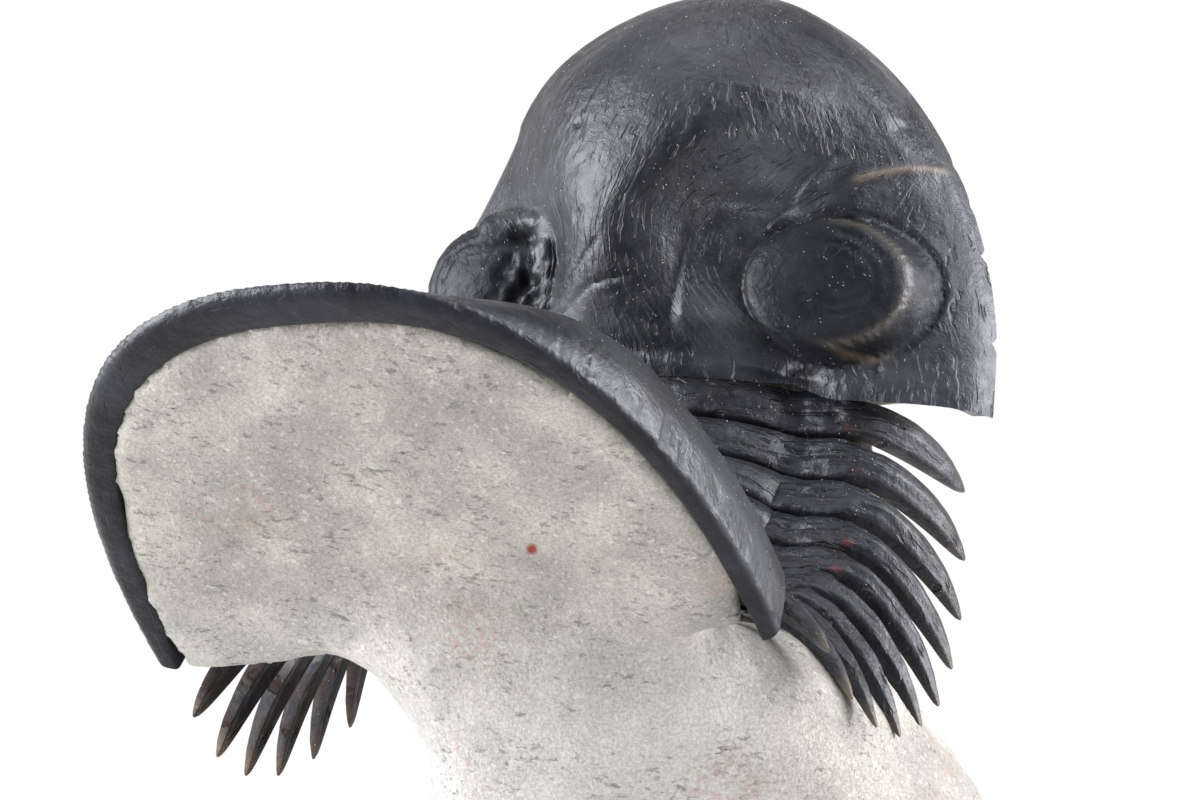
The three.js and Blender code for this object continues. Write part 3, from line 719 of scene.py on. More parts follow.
class ThoraxSegment:
    """One plate of the thorax, with an arched axis, two pleurae and a spine at both ends."""

    # The arch: height over the margin by the share of the way out.
    PROFILE = (
        (0.0, 8.4), (0.24, 8.0), (0.42, 7.1), (0.54, 6.0), (0.62, 5.0),
        (0.67, 4.6), (0.74, 4.5), (0.84, 4.35), (0.92, 4.0), (1.0, 3.05),
    )
    SPINE_STEPS = 36
    HALF_STEPS = 40
    ACROSS = 18

    def __init__(self, number: int, sweep: Sweep, size: SegmentSize = SegmentSize()) -> None:
        """Keep the number, the sweep and the sizes."""
        self.number = number
        self.sweep = sweep
        self.size = size
        self.noise = LatticeNoise(40 + number)

    def reach(self) -> float:
        """Distance from the axis to where the spine starts."""
        s = self.size
        t = (self.number + 0.5) / s.count
        return s.reach + s.reach_swell * math.sin(math.pi * t / 1.1) + s.reach_rise * t

    def section(self, side: Side) -> tuple[Array, Array, Array]:
        """The section on one side: x, z and how free of the body each point is."""
        s = self.size
        share = (self.number / (s.count - 1)) ** 2
        rear = s.droop_rear_right if side is Side.RIGHT else s.droop_rear_left
        droop = s.droop_front + (rear - s.droop_front) * share
        u = np.linspace(0, 1, self.HALF_STEPS + 1)
        x, z = u * self.reach(), curve(u, self.PROFILE)
        free = (np.arange(self.SPINE_STEPS) + 1) / self.SPINE_STEPS
        step = s.spine / self.SPINE_STEPS
        angle = np.radians(droop + s.curl * (2 * (free - 0.5 / self.SPINE_STEPS) - 1))
        x = np.concatenate([x, x[-1] + np.cumsum(step * np.cos(angle))])
        z = np.concatenate([z, z[-1] - np.cumsum(step * np.sin(angle))])
        return x, z, np.concatenate([np.zeros_like(u), free])

    def across(self) -> Array:
        """The section from the left tip to the right tip.

        Returns:
            Rows of x, z, the normal's x and z, how free of the body, and the length from the axis.
        """
        halves = []
        for side in (Side.LEFT, Side.RIGHT):
            x, z, free = self.section(side)
            run = np.stack([np.gradient(x), np.gradient(z)], -1)
            run /= np.linalg.norm(run, axis=-1, keepdims=True)
            run[0] = (1, 0)
            arc = np.concatenate([[0], np.cumsum(np.hypot(np.diff(x), np.diff(z)))])
            sign = side.value
            rows = np.column_stack([sign * x, z, -sign * run[:, 1], run[:, 0], free, sign * arc])
            halves.append(rows[:0:-1] if side is Side.LEFT else rows)
        return np.concatenate(halves)

    def relief(self, u: Array, v: Array, slim: Array) -> Array:
        """How far the outside rises over the arch: its crest, keel and furrows.

        Args:
            u: Share of the way from the axis to the spine's root.
            v: Place across the plate, from -1 at its front edge to 1 at its rear edge.
            slim: 1 on the body, falling to 0 at the spine's tip.

        Returns:
            The rise in millimetres.
        """
        s = self.size
        rise = s.crest * (1 - v * v) + 0.1 * window(v, (0.45, 0.8, 0.85, 1.0))
        rise = (rise + s.keel * (1 - np.abs(v)) * smooth(u, 0.9, 1.1)) * slim
        furrows = s.furrow_axial * bell(u - 0.645, 0.014) + s.furrow_outer * bell(u - 0.93, 0.02)
        slanted = bell(v + 0.1 + 0.6 * (u - 0.8), 0.2) * window(u, (0.66, 0.7, 0.88, 0.94))
        return rise - (furrows + s.furrow_pleural * slanted) * (1 - 0.4 * v * v)

    def build(self) -> bpy.types.Object:
        """Build the closed shell of the segment."""
        s = self.size
        x, z, nx, nz, free, arc = (column[:, None] for column in self.across().T)
        v = np.linspace(-1, 1, self.ACROSS + 1)[None, :]
        local = self.sweep.length * (1 - z / self.sweep.radius)
        u = np.abs(arc) / self.reach()
        blade = s.blade - 0.02 * self.number
        taper = 1 - free**1.5
        root = 1.0 - (0.95 - blade) * smooth(u, 0.9, 1.05)
        width = np.where(free > 0, blade * taper**0.75 + 0.05, root)
        half = (width / s.count - s.gap / local * (1 - 0.8 * free)) / 2
        t = (self.number + 0.5) / s.count + s.swing * free**1.3 / self.sweep.length + half * v
        thick = np.where(free > 0, 1.25 * taper**0.6 + 0.12, s.thick)
        slim = np.where(free > 0, taper**0.75, 1.0)
        rise = self.relief(u, v, slim)
        sink = rise - thick * (1 - 0.25 * v * v)
        outer, inner, above = (
            self.sweep.at(t, x + nx * depth, z + nz * depth) for depth in (rise, sink, rise + 1)
        )
        lumps = (0.05 + 0.13 * window(u, (0.55, 0.7, 0.95, 1.1))) * np.minimum(1.0, 4 * slim)
        outer = outer + (lumps * self.noise.fractal(outer, 1.5))[..., None] * (above - outer)
        lay = np.stack(np.broadcast_arrays(arc, v * half * local), -1)
        marks = {
            "tan": s.tip_stain[self.number] * smooth(free, 0.75, 1.0),
            # Dark brown on the spines, strongest on the left ones: partly their own colour, partly painted
            # shade that makes them read less lit.
            "brown": smooth(free, 0.0, 0.35) * np.where(arc < 0, 0.95, 0.15),
            "red": bell(u - 0.985, 0.011) * bell(v - 0.75, 0.13) * (arc > 0) * s.red_root[self.number],
        }
        return shell_mesh(f"thorax_plate_{self.number + 1:02d}", outer, inner, lay, marks)


@dataclass(frozen=True)
class TailSize:
    """Sizes of the tail shield in millimetres."""

    half_width: float = 20.0
    spread_left: float = 0.5
    length: float = 33.6
    bluntness: float = 2.4
    front_half: float = 6.0
    corner_x: float = 15.5
    corner_width: float = 4.5
    corner_back: float = 1.1
    height: float = 9.5
    axis_half: float = 5.6
    axis_length: float = 9.5
    axis_rise: float = 2.2
    doublure: float = 3.2
    doublure_right: float = 2.3
    doublure_corner: float = 2.0
    shell: float = 1.0
    roll: float = 0.6
    tooth: float = 0.12
    tooth_pitch: float = 0.62


class TailShield:
    """The fan-shaped tail shield, with the band that is turned in under its margin."""

    AROUND = 300
    OUT = 64
    BAND = 18
    CENTRE = np.array([0.0, -14.0, -9.0])

    def __init__(self, size: TailSize = TailSize()) -> None:
        """Keep the sizes and make the noise that roughens the shell."""
        self.size = size
        self.noise = LatticeNoise(23)

    def plan(self, alpha: Array, rho: Array) -> tuple[Array, Array]:
        """Plan position from the angle round the fan and the share of the way out."""
        s = self.size
        half = s.half_width + s.spread_left * smooth(-np.cos(alpha), 0.1, 0.6)
        x = (s.front_half + (half - s.front_half) * rho) * power(np.cos(alpha), 2 / s.bluntness)
        y = -s.length * rho * power(np.sin(alpha), 2 / s.bluntness)
        corner = np.maximum(0.0, (np.abs(x) - s.corner_x) / s.corner_width) ** 2
        return x, y - s.corner_back * corner * (1 - smooth(np.sin(alpha), 0.0, 0.3))

    def height(self, alpha: Array, rho: Array) -> Array:
        """Height of the shield over its margin plane."""
        s = self.size
        x, y = self.plan(alpha, rho)
        flank = (0.6 + 0.45 * smooth(np.sin(alpha), 0.55, 1.0)) * (1 - 0.45 * smooth(np.cos(alpha), 0.1, 0.7))
        dome = s.height * np.maximum(0.0, 1 - rho**2.4) ** flank
        return dome + s.axis_rise * (1 - smooth(np.hypot(x / s.axis_half, y / s.axis_length), 0.45, 1.05))

    def doublure_edge(self, alpha: Array) -> Array:
        """The share of the way out at which the turned-in band ends."""
        s = self.size
        broad = s.doublure + (s.doublure_right - s.doublure) * smooth(np.cos(alpha), 0.0, 0.7)
        width = s.doublure_corner + (broad - s.doublure_corner) * smooth(np.sin(alpha), 0, 0.15)
        return 1 - width / np.hypot(*self.plan(alpha, np.ones_like(alpha)))

    def build(self) -> bpy.types.Object:
        """Build the closed shell of the tail."""
        s = self.size
        alpha = np.linspace(0, math.pi, self.AROUND + 1)[:, None]
        edge = self.doublure_edge(alpha)
        inside = edge * np.linspace(0, 1, self.OUT)[None, :]
        share = (1 - np.cos(np.linspace(0, math.pi, self.BAND + 1)))[None, 1:] / 2
        rho = np.concatenate([inside, edge + (1 - edge) * share], 1)
        angle = np.broadcast_to(alpha, rho.shape)
        x, y = self.plan(angle, rho)
        z = self.height(angle, rho)
        outer = np.stack([x, y, z], -1)
        band = np.concatenate([np.zeros_like(inside), np.repeat(share, len(alpha), 0)], 1)
        roll = -s.roll * np.maximum(0.0, 1 - (2 * band - 1) ** 4) ** 0.7 - 0.1
        roll = roll + 0.5 * (1 - smooth(band, 0.0, 0.15))
        column = np.arange(rho.shape[1])[None, :]
        banded = column >= self.OUT
        under = np.stack([x, y, np.where(column == column.max(), z, roll)], -1)
        inner = np.where(banded[..., None], under, inset(outer, self.CENTRE, s.shell))
        x1, y1 = self.plan(angle, np.ones_like(angle))
        steps = np.hypot(*(np.diff(line[:, 0], prepend=line[0, 0]) for line in (x1, y1)))
        round_margin = np.cumsum(steps)[:, None]
        outward = np.stack([x, y, np.zeros_like(x)], -1)
        outward /= np.maximum(np.linalg.norm(outward, axis=-1, keepdims=True), 1e-6)
        teeth = outward * (s.tooth * (round_margin / s.tooth_pitch % 1.0) * smooth(rho, 0.99, 1.0))[..., None]
        rough = 0.05 * self.noise.fractal(outer, 2.4) * np.minimum(1.0, 8 * (1 - rho))
        outer = outer + upward_normals(outer) * rough[..., None] + teeth
        lay = np.stack([round_margin + 0 * rho, (1 - rho) * np.hypot(x1, y1)], -1)
        marks = {"lens": 0.75 * banded * (1 - smooth(band, 0.9, 1.0))}
        return shell_mesh("tail_shell", TAIL_POSE.place(outer), TAIL_POSE.place(inner + teeth), lay, marks)


@dataclass(frozen=True)
class DustSize:
    """Sizes of the dust crumbs in millimetres, how many lie on a square millimetre and their seed."""

    radius: float = 0.05
    density: float = 1.3
    patch: float = 20 / 3
    seed: int = 5


class ShellDust:
    """Crumbs of pale stone dust, strewn over the outside of the shell by Geometry Nodes."""

    SOCKETS = (
        ("Shells", "Geometry"), ("Density", "Float"), ("Radius", "Float"),
        ("Patch", "Float"), ("Seed", "Int"), ("Dust", "Material"),
    )
    SMALLEST = (0.45, 0.45, 0.3)
    LARGEST = (1.7, 1.0, 0.9)
    ANY_TURN = (6.28, 6.28, 6.28)

    def __init__(self, size: DustSize = DustSize()) -> None:
        """Keep the sizes."""
        self.size = size

    def tree(self) -> bpy.types.NodeTree:
        """Build the node tree that strews crumbs where the surface is an outside."""
        tree = bpy.data.node_groups.new("strew_dust", "GeometryNodeTree")
        for name, kind in self.SOCKETS:
            tree.interface.new_socket(name, in_out="INPUT", socket_type=f"NodeSocket{kind}")
        tree.interface.new_socket("Crumbs", in_out="OUTPUT", socket_type="NodeSocketGeometry")
        add = partial(add_node, tree)
        given = add("NodeGroupInput").outputs
        cloud = add("ShaderNodeTexNoise", {"Scale": given["Patch"]})
        patches = add("ShaderNodeMapRange", (cloud, 0.42, 0.64, 0.12, 1.0))
        density = add("ShaderNodeMath", (patches, given["Density"]), operation="MULTIPLY")
        skin = add("GeometryNodeInputNamedAttribute", {"Name": "skin"}).outputs["Attribute"]
        outside = add("FunctionNodeCompare", {"A": skin, "B": 0.99})
        where = {"Mesh": given["Shells"], "Selection": outside, "Density": density, "Seed": given["Seed"]}
        strewn = add("GeometryNodeDistributePointsOnFaces", where)
        crumb = add("GeometryNodeMeshIcoSphere", {"Subdivisions": 1, "Radius": given["Radius"]})
        limits = {"Min": self.SMALLEST, "Max": self.LARGEST}
        scale = add("FunctionNodeRandomValue", limits, data_type="FLOAT_VECTOR")
        turn = add("FunctionNodeRandomValue", {"Max": self.ANY_TURN}, data_type="FLOAT_VECTOR")
        placing = {"Points": strewn, "Instance": crumb, "Scale": scale, "Rotation": turn}
        real = add("GeometryNodeRealizeInstances", (add("GeometryNodeInstanceOnPoints", placing),))
        painted = add("GeometryNodeSetMaterial", {"Geometry": real, "Material": given["Dust"]})
        add("NodeGroupOutput", (painted,))
        return tree

    def build(self, shells: Sequence[bpy.types.Object], dust: bpy.types.Material) -> bpy.types.Object:
        """Strew the crumbs over copies of the shells and keep them as one plain mesh.

        Args:
            shells: The dressed plates and shields.
            dust: The crumbs' material.

        Returns:
            The crumbs.
        """
        s = self.size
        work = bmesh.new()
        for shell in shells:
            work.from_mesh(shell.data)
        mesh = bpy.data.meshes.new("shell_dust")
        work.to_mesh(mesh)
        work.free()
        obj = linked("shell_dust", mesh)
        modifier = obj.modifiers.new("strew", "NODES")
        tree = self.tree()
        modifier.node_group = tree
        values = {
            "Density": s.density / MM**2, "Radius": s.radius * MM, "Patch": 1 / (s.patch * MM),
            "Seed": s.seed, "Dust": dust,
        }
        for item in tree.interface.items_tree:
            if item.in_out == "INPUT" and item.name in values:
                modifier[item.identifier] = values[item.name]
        obj.data = evaluated(obj)
        obj.modifiers.remove(modifier)
        bpy.data.meshes.remove(mesh)
        return obj


class LimestoneMatrix:
    """The stone that fills the shields from below and carries them, with its sizes in millimetres."""

    VOXEL = 0.375
    # The solid's thin edge behind the head's margin: its heights over the margin plane, the least
    # share of the way out, and the share and height that its corners are drawn in to.
    EDGE_Z = (-1.8, 0.38)
    EDGE_OUT = 0.72
    EDGE_OUT_TO = 0.84
    EDGE_Z_TO = 0.45
    # Where the stone is moulded: the middle of a place, its radii and the shift.
    MOULDS = (
        ((5.0, -14.0, 19.5), (8.0, 5.0, 4.5), (1.5, -3.6, 0.0)),
        ((-23.0, 5.0, 18.0), (6.0, 11.0, 5.0), (5.0, 0.0, 4.0)),
    )
    FILLED_CENTRE = np.array([0.0, -4.0])
    FILLED_Z = (-1.6, -0.6, 1.5, 3.0)
    FILLED_PUSH = 0.75
    SLOPE_X = -4.0
    SLOPE_Y = (-24.0, -20.0, -12.0, -8.0)
    SLOPE_Z = (4.0, 8.0, 26.0, 30.0)
    SLOPE_ROUNDS = 260

    def __init__(self, head: HeadShield) -> None:
        """Keep the head that the stone fills and make the noise that roughens the stone."""
        self.head = head
        self.noise = LatticeNoise(77)

    def build(self) -> bpy.types.Object:
        """Join a copy of the CAD stone with the head's filling, remesh it finely and roughen its surface."""
        mesh = bpy.data.meshes.new("limestone")
        work = bmesh.new()
        work.from_mesh(bpy.data.objects["limestone_matrix"].data)
        corners = np.array([vertex.co for vertex in work.verts]) / MM
        for vertex, place in zip(work.verts, self.tucked(corners)):
            vertex.co = place * MM
        filling = self.head.filling()
        work.from_mesh(filling.data)
        work.to_mesh(mesh)
        work.free()
        bpy.data.objects.remove(filling)
        obj = linked("limestone", mesh)
        mesh.materials.clear()
        remesh = obj.modifiers.new("remesh", "REMESH")
        remesh.mode = "VOXEL"
        remesh.voxel_size = self.VOXEL * MM
        relax = obj.modifiers.new("relax", "SMOOTH")
        relax.factor = 0.6
        relax.iterations = 12
        fine = evaluated(obj)
        bpy.data.objects.remove(obj)
        bpy.data.meshes.remove(mesh)
        self.roughen(fine)
        return finished("limestone", fine)

    def tucked(self, points: Array) -> Array:
        """Draw the corners of the thin stone edge behind the head's margin into the head's filling."""
        skew = self.head.size.skew
        local = HEAD_POSE.local(points)
        x, y, z = local[:, 0] - skew * local[:, 1], local[:, 1], local[:, 2]
        out = np.maximum(self.head.out(x, y), 1e-6)
        thin = (y > 1.0) & (z > self.EDGE_Z[0]) & (z < self.EDGE_Z[1]) & (out > self.EDGE_OUT)
        share = self.EDGE_OUT_TO / out
        drawn = np.stack([(x + skew * y) * share, y * share, np.full_like(z, self.EDGE_Z_TO)], 1)
        return np.where(thin[:, None], HEAD_POSE.place(drawn), points)

    def filled(self, points: Array) -> Array:
        """Spread the stone under the tail until it meets the turned-in band."""
        local = TAIL_POSE.local(points)
        away = local[:, :2] - self.FILLED_CENTRE
        reach = np.linalg.norm(away, axis=1)
        share = window(local[:, 2], self.FILLED_Z) * smooth(-local[:, 1], 2.0, 8.0)
        push = self.FILLED_PUSH * share * smooth(reach, 10.0, 15.0) / np.maximum(reach, 1.0)
        local[:, :2] += away * push[:, None]
        return TAIL_POSE.place(local)

    def moulded(self, points: Array) -> Array:
        """Fill the ledge under the tail's right corner and trim the stone behind the left arch."""
        for centre, radius, shift in self.MOULDS:
            share = np.exp(-np.sum(((points - centre) / radius) ** 2, axis=1))
            points = points + share[:, None] * np.array(shift)
        return points

    def relaxed(self, points: Array, mesh: bpy.types.Mesh) -> Array:
        """Melt the step between the tail's stone face and the pillar into one slope."""
        edges = np.empty(2 * len(mesh.edges), dtype=int)
        mesh.edges.foreach_get("vertices", edges)
        a, b = edges.reshape(-1, 2).T
        count = len(points)
        degree = np.maximum(np.bincount(edges, minlength=count), 1)
        x, y, z = points.T
        weight = 0.6 * (1 - smooth(np.abs(x - self.SLOPE_X), 15.0, 21.0))
        weight = (weight * window(y, self.SLOPE_Y) * window(z, self.SLOPE_Z))[:, None]
        for _ in range(self.SLOPE_ROUNDS):
            sums = [
                np.bincount(a, points[b, k], count) + np.bincount(b, points[a, k], count) for k in range(3)
            ]
            points = points + weight * ((np.stack(sums, 1) / degree[:, None]) - points)
        return points

    def roughen(self, mesh: bpy.types.Mesh) -> None:
        """Push the surface out a little, with the uneven relief of tooled stone, but keep the base flat."""
        points, normals = (np.empty(3 * len(mesh.vertices)) for _ in range(2))
        mesh.vertices.foreach_get("co", points)
        mesh.vertices.foreach_get("normal", normals)
        points = self.relaxed(self.moulded(points.reshape(-1, 3) / MM), mesh)
        low = points[:, 2].min()
        relief = 0.25 + 0.16 * self.noise.fractal(points, 3.2, 4) + 0.22 * self.noise.at(points + 5.0, 9.0)
        relief = relief * smooth(points[:, 2], low + 0.1, low + 1.2)
        points = self.filled(points + normals.reshape(-1, 3) * relief[:, None])
        points[:, 2] = np.where(points[:, 2] < low + 0.25, 0.0, points[:, 2])
        mesh.vertices.foreach_set("co", (points * MM).ravel())
        mesh.update()


def srgb(code: str) -> tuple[float, float, float, float]:
    """Linear colour from an sRGB hex code."""
    parts = [int(code[k : k + 2], 16) / 255 for k in (1, 3, 5)]
    return (*[c / 12.92 if c <= 0.04045 else ((c + 0.055) / 1.055) ** 2.4 for c in parts], 1.0)


class Weave:
    """Builds one material's node tree."""

    def __init__(self, name: str) -> None:
        """Start a material with an empty tree."""
        self.material = bpy.data.materials.new(name)
        self.material.use_nodes = True
        tree = self.material.node_tree
        tree.nodes.clear()
        self.add = partial(add_node, tree)

    def eased(self, value: Input, *levels: float) -> bpy.types.Node:
        """Ease a value between two of its levels: from low, from high and, if given, to low and to high."""
        return self.add("ShaderNodeMapRange", (value, *levels), interpolation_type="SMOOTHSTEP")

    def product(self, *factors: Input) -> Input:
        """Multiply values together."""
        return reduce(lambda a, b: self.add("ShaderNodeMath", (a, b), operation="MULTIPLY"), factors)

    def total(self, ground: Input, *parts: tuple[Input, float]) -> Input:
        """Add weighted values to a ground value."""
        for value, weight in parts:
            ground = self.add("ShaderNodeMath", (value, weight, ground), operation="MULTIPLY_ADD")
        return ground

    def mottle(self, place: Input, size: float, detail: float = 2.0, rough: float = 0.5) -> bpy.types.Node:
        """A cloudy pattern.

        Args:
            place: Where it is read.
            size: Width of its features in millimetres.
            detail: How many finer copies it has.
            rough: How strong these are.

        Returns:
            The pattern's node.
        """
        inputs = {"Vector": place, "Scale": 1 / (size * MM), "Detail": detail, "Roughness": rough}
        return self.add("ShaderNodeTexNoise", inputs)

    def coated(self, colour: Input, coats: Sequence[tuple[Input, str]]) -> Input:
        """Lay coats of colour over a ground colour, each as far as its share says."""
        for share, code in coats:
            inputs = {0: share, 6: colour, 7: srgb(code)}
            colour = self.add("ShaderNodeMix", inputs, data_type="RGBA").outputs[2]
        return colour

    def surfaced(self, looks: dict[str, Input], shader: str = "BsdfPrincipled") -> bpy.types.Material:
        """End the tree with a shader and return the material."""
        self.add("ShaderNodeOutputMaterial", {"Surface": self.add(f"ShaderNode{shader}", looks)})
        return self.material


@dataclass(frozen=True)
class ShellFinish:
    """Calcite shell, fossilised nearly black and cleaned by air abrasion.

    It gives the eye a soft blue-grey sheen over short dark lines that follow the shell's growth, with
    pale dust left in its hollows. Pale patches on the head are partly painted light, and the brown of the
    left spines is partly painted shade. Sizes are in millimetres.
    """

    name: str = "fossil_calcite_shell"
    dark: str = "#0c0d11"
    pale: str = "#212229"
    cut: str = "#08080a"
    ridge: str = "#34353f"
    tan: str = "#8a7a63"
    # Dark brown of the spines, partly painted shade on the left ones.
    brown: str = "#21160f"
    red: str = "#7a2a26"
    film: str = "#4b4d57"
    # Pale film, also the colour of painted light where the head's shell reads lit.
    sheen: str = "#f0f1fc"
    roughness: float = 0.42
    bend: tuple[float, float, float] = (0.9, 1.1, 0.0)
    bend_size: float = 2.857
    cloud: float = 6.25
    lump: float = 1.4286
    grain: float = 0.16667
    cut_patch: float = 7.143
    ridge_patch: float = 8.333
    brown_and_painted_shade_patch: float = 2.0
    film_and_painted_light_patch: float = 2.381
    gloss_patch: float = 1.1111
    cuts: Place = (1.7, 0.34)
    ridges: Place = (5.0, 0.5)
    ridge_fade: Place = (52.0, 60.0)
    relief: float = 0.13

    def material(self) -> bpy.types.Material:
        """Build the material."""
        w = Weave(self.name)
        tan, lens, brown, red, film = (
            w.add("ShaderNodeAttribute", attribute_name=key).outputs["Fac"]
            for key in ("tan", "lens", "brown", "red", "film")
        )
        lay = w.add("ShaderNodeAttribute", attribute_name="lay").outputs["Vector"]
        place = w.add("ShaderNodeTexCoord").outputs["Object"]
        bent = w.mottle(place, self.bend_size, 3.0).outputs["Color"]
        bent = w.add("ShaderNodeVectorMath", (bent, self.bend, lay), operation="MULTIPLY_ADD")
        cuts, ridges = (
            w.add("ShaderNodeVectorMath", (bent, (1 / long, 1 / wide, 1.0)), operation="MULTIPLY")
            for long, wide in (self.cuts, self.ridges)
        )
        cuts, ridges = (
            w.add("ShaderNodeTexNoise", {"Vector": lines, "Scale": 1.0, "Detail": detail})
            for lines, detail in ((cuts, 1.0), (ridges, 2.0))
        )
        bare = w.add("ShaderNodeMath", (1.0, lens), operation="SUBTRACT")
        cuts = w.product(
            w.eased(cuts, 0.6, 0.7), w.eased(w.mottle(place, self.cut_patch, 3.0), 0.4, 0.56), bare
        )
        level = w.add("ShaderNodeSeparateXYZ", (place,)).outputs["Z"]
        low, high = (v * MM for v in self.ridge_fade)
        ridges = w.product(
            w.eased(ridges, 0.54, 0.68), w.eased(w.mottle(place, self.ridge_patch), 0.62, 0.46),
            bare, w.eased(level, low, high, 1.0, 0.35),
        )
        patches = w.eased(w.mottle(place, self.brown_and_painted_shade_patch, 3.0), 0.3, 0.6)
        thin = w.eased(w.mottle(place, self.film_and_painted_light_patch, 4.0), 0.3, 0.65, 0.4, 1.0)
        colour = w.coated(srgb(self.dark), (
            (w.eased(w.mottle(place, self.cloud, 5.0, 0.6), 0.3, 0.7), self.pale),
            (w.product(cuts, 0.7), self.cut),
            (w.product(ridges, 0.3), self.ridge),
            # Brown spines, partly painted shade.
            (w.product(brown, patches), self.brown),
            # Pale film, partly painted light on the head's flanks and right margin.
            (w.product(film, thin), self.film),
            (tan, self.tan),
            (red, self.red),
        ))
        lumps = w.mottle(place, self.lump, 5.0, 0.62)
        height = w.total(0.0, (cuts, -1.0), (ridges, 0.28), (lumps, 1.5), (w.mottle(place, self.grain), 0.1))
        bump = w.add("ShaderNodeBump", {"Height": height, "Strength": 1.0, "Distance": self.relief * MM})
        gloss = w.mottle(place, self.gloss_patch, 4.0, 0.6)
        gloss = w.eased(gloss, 0.3, 0.7, self.roughness + 0.1, self.roughness - 0.08)
        dull = w.add("ShaderNodeMath", (lens, brown), operation="MAXIMUM")
        return w.surfaced({
            "Base Color": colour,
            "Roughness": w.total(gloss, (cuts, 0.25), (brown, 0.12)),
            "Normal": bump,
            "Specular IOR Level": w.eased(dull, 0.0, 1.0, 0.5, 0.14),
            "Specular Tint": srgb(self.sheen),
        })


@dataclass(frozen=True)
class StoneFinish:
    """Fine-grained limestone, worked down with small tools.

    It is matte, light and warm grey, with fine dark flecks, pale chips and a few reddish stains.
    Sizes and places are in millimetres.
    """

    name: str = "tooled_limestone"
    base: str = "#94918c"
    pale: str = "#b4b0a9"
    # Paler bottom of the stone, partly painted light from below.
    low: str = "#cdcecf"
    crumb: str = "#cfcdc8"
    shade: str = "#d8d7d8"
    stain: str = "#94695c"
    fleck: str = "#4a4a44"
    red: str = "#7d2318"
    cloud: float = 6.667
    fine: float = 0.5882
    grain: float = 0.1923
    patch: float = 3.846
    fleck_size: float = 0.4348
    blot_size: float = 1.0
    crumb_size: float = 0.4348
    stain_size: float = 9.524
    lean: float = -32.0
    stretch: tuple[float, float, float] = (0.6, 1.0, 1.2)
    low_z: Place = (29.0, 14.0)
    low_x: Place = (0.0, 9.0)
    spot: tuple[float, float, float] = (-9.0, -27.0, 29.2)
    spot_flat: tuple[float, float, float] = (1.0, 0.1, 1.0)
    spot_edge: Place = (0.55, 0.35)
    relief: float = 0.3

    def material(self) -> bpy.types.Material:
        """Build the material."""
        w = Weave(self.name)
        place = w.add("ShaderNodeTexCoord").outputs["Object"]
        axes = w.add("ShaderNodeSeparateXYZ", (place,)).outputs
        turn = (0.0, math.radians(self.lean), 0.0)
        turned = w.add("ShaderNodeMapping", {"Vector": place, "Rotation": turn, "Scale": self.stretch})
        cloud = w.mottle(place, self.cloud, 4.0, 0.6)
        fine = w.mottle(place, self.fine, 6.0, 0.7)
        grain = w.eased(w.mottle(place, self.grain, 3.0, 0.7), 0.3, 0.7, 1.0, 0.0)
        flecks = w.product(
            w.eased(w.mottle(turned, self.fleck_size, 5.0, 0.7), 0.55, 0.66),
            w.eased(w.mottle(place, self.patch, 3.0), 0.42, 0.62),
        )
        blots = w.eased(w.mottle(turned, self.blot_size, 5.0, 0.75), 0.59, 0.66)
        crumbs = w.eased(w.mottle(place, self.crumb_size, 3.0), 0.6, 0.7)
        stains = w.product(w.eased(w.mottle(place, self.stain_size), 0.55, 0.68), w.eased(fine, 0.42, 0.62))
        # Paler, bluer stone towards the bottom, left of x = 9 mm: partly the stone's own tone, partly painted
        # light that stands in for light thrown up from the floor.
        low = w.product(
            w.eased(axes["Z"], *(v * MM for v in self.low_z), 0.0, 0.55),
            w.eased(axes["X"], *(v * MM for v in self.low_x), 1.0, 0.0),
        )
        flat = w.add("ShaderNodeVectorMath", (place, self.spot_flat), operation="MULTIPLY")
        centre = tuple(v * k * MM for v, k in zip(self.spot, self.spot_flat))
        away = w.add("ShaderNodeVectorMath", (flat, centre), operation="DISTANCE").outputs["Value"]
        colour = w.coated(srgb(self.base), ((w.eased(cloud, 0.3, 0.7), self.pale), (low, self.low)))
        shading = {0: grain, 6: colour, 7: srgb(self.shade)}
        colour = w.add("ShaderNodeMix", shading, data_type="RGBA", blend_type="MULTIPLY").outputs[2]
        colour = w.coated(colour, (
            (w.product(crumbs, 0.35), self.crumb),
            (w.product(stains, 0.36), self.stain),
            (w.product(flecks, 0.6), self.fleck),
            (w.product(blots, 0.6), self.fleck),
            (w.eased(away, *(v * MM for v in self.spot_edge)), self.red),
        ))
        height = w.total(cloud, (fine, 0.8), (flecks, -0.15))
        bump = w.add("ShaderNodeBump", {"Height": height, "Strength": 1.0, "Distance": self.relief * MM})
        return w.surfaced({"Base Color": colour, "Roughness": 0.93, "Normal": bump})


@dataclass(frozen=True)
class PlainFinish:
    """A matte surface of one colour, without a pattern of its own."""

    name: str
    colour: str
    roughness: float

    def material(self) -> bpy.types.Material:
        """Build the material."""
        looks = {"Base Color": srgb(self.colour), "Roughness": self.roughness}
        return Weave(self.name).surfaced(looks)


# Dust left by the cleaning, too fine to show a pattern: pale specks on the dark shell.
STONE_DUST = PlainFinish("stone_dust", "#8f8d88", 0.95)
# Uncoated white card, which throws soft light up under the tail and the head.
WHITE_CARD = PlainFinish("matt_white_card", "#d2d1ce", 0.9)


@dataclass(frozen=True)
class Softbox:
    """A large soft lamp: where it stands and how wide it is, in millimetres, and how strong in watts."""

    name: str
    place: tuple[float, float, float]
    width: float
    power: float

    def build(self, aim: tuple[float, float, float]) -> None:
        """Add the lamp, aimed at a place."""
        lamp = bpy.data.lights.new(self.name, "AREA")
        lamp.shape = "SQUARE"
        lamp.size = self.width * MM
        lamp.energy = self.power
        obj = linked(self.name, lamp)
        obj.location = [v * MM for v in self.place]
        x, y, z = np.array(self.place) - np.array(aim)
        obj.rotation_euler = (math.atan2(math.hypot(x, y), z), 0.0, math.atan2(y, x) + math.pi / 2)


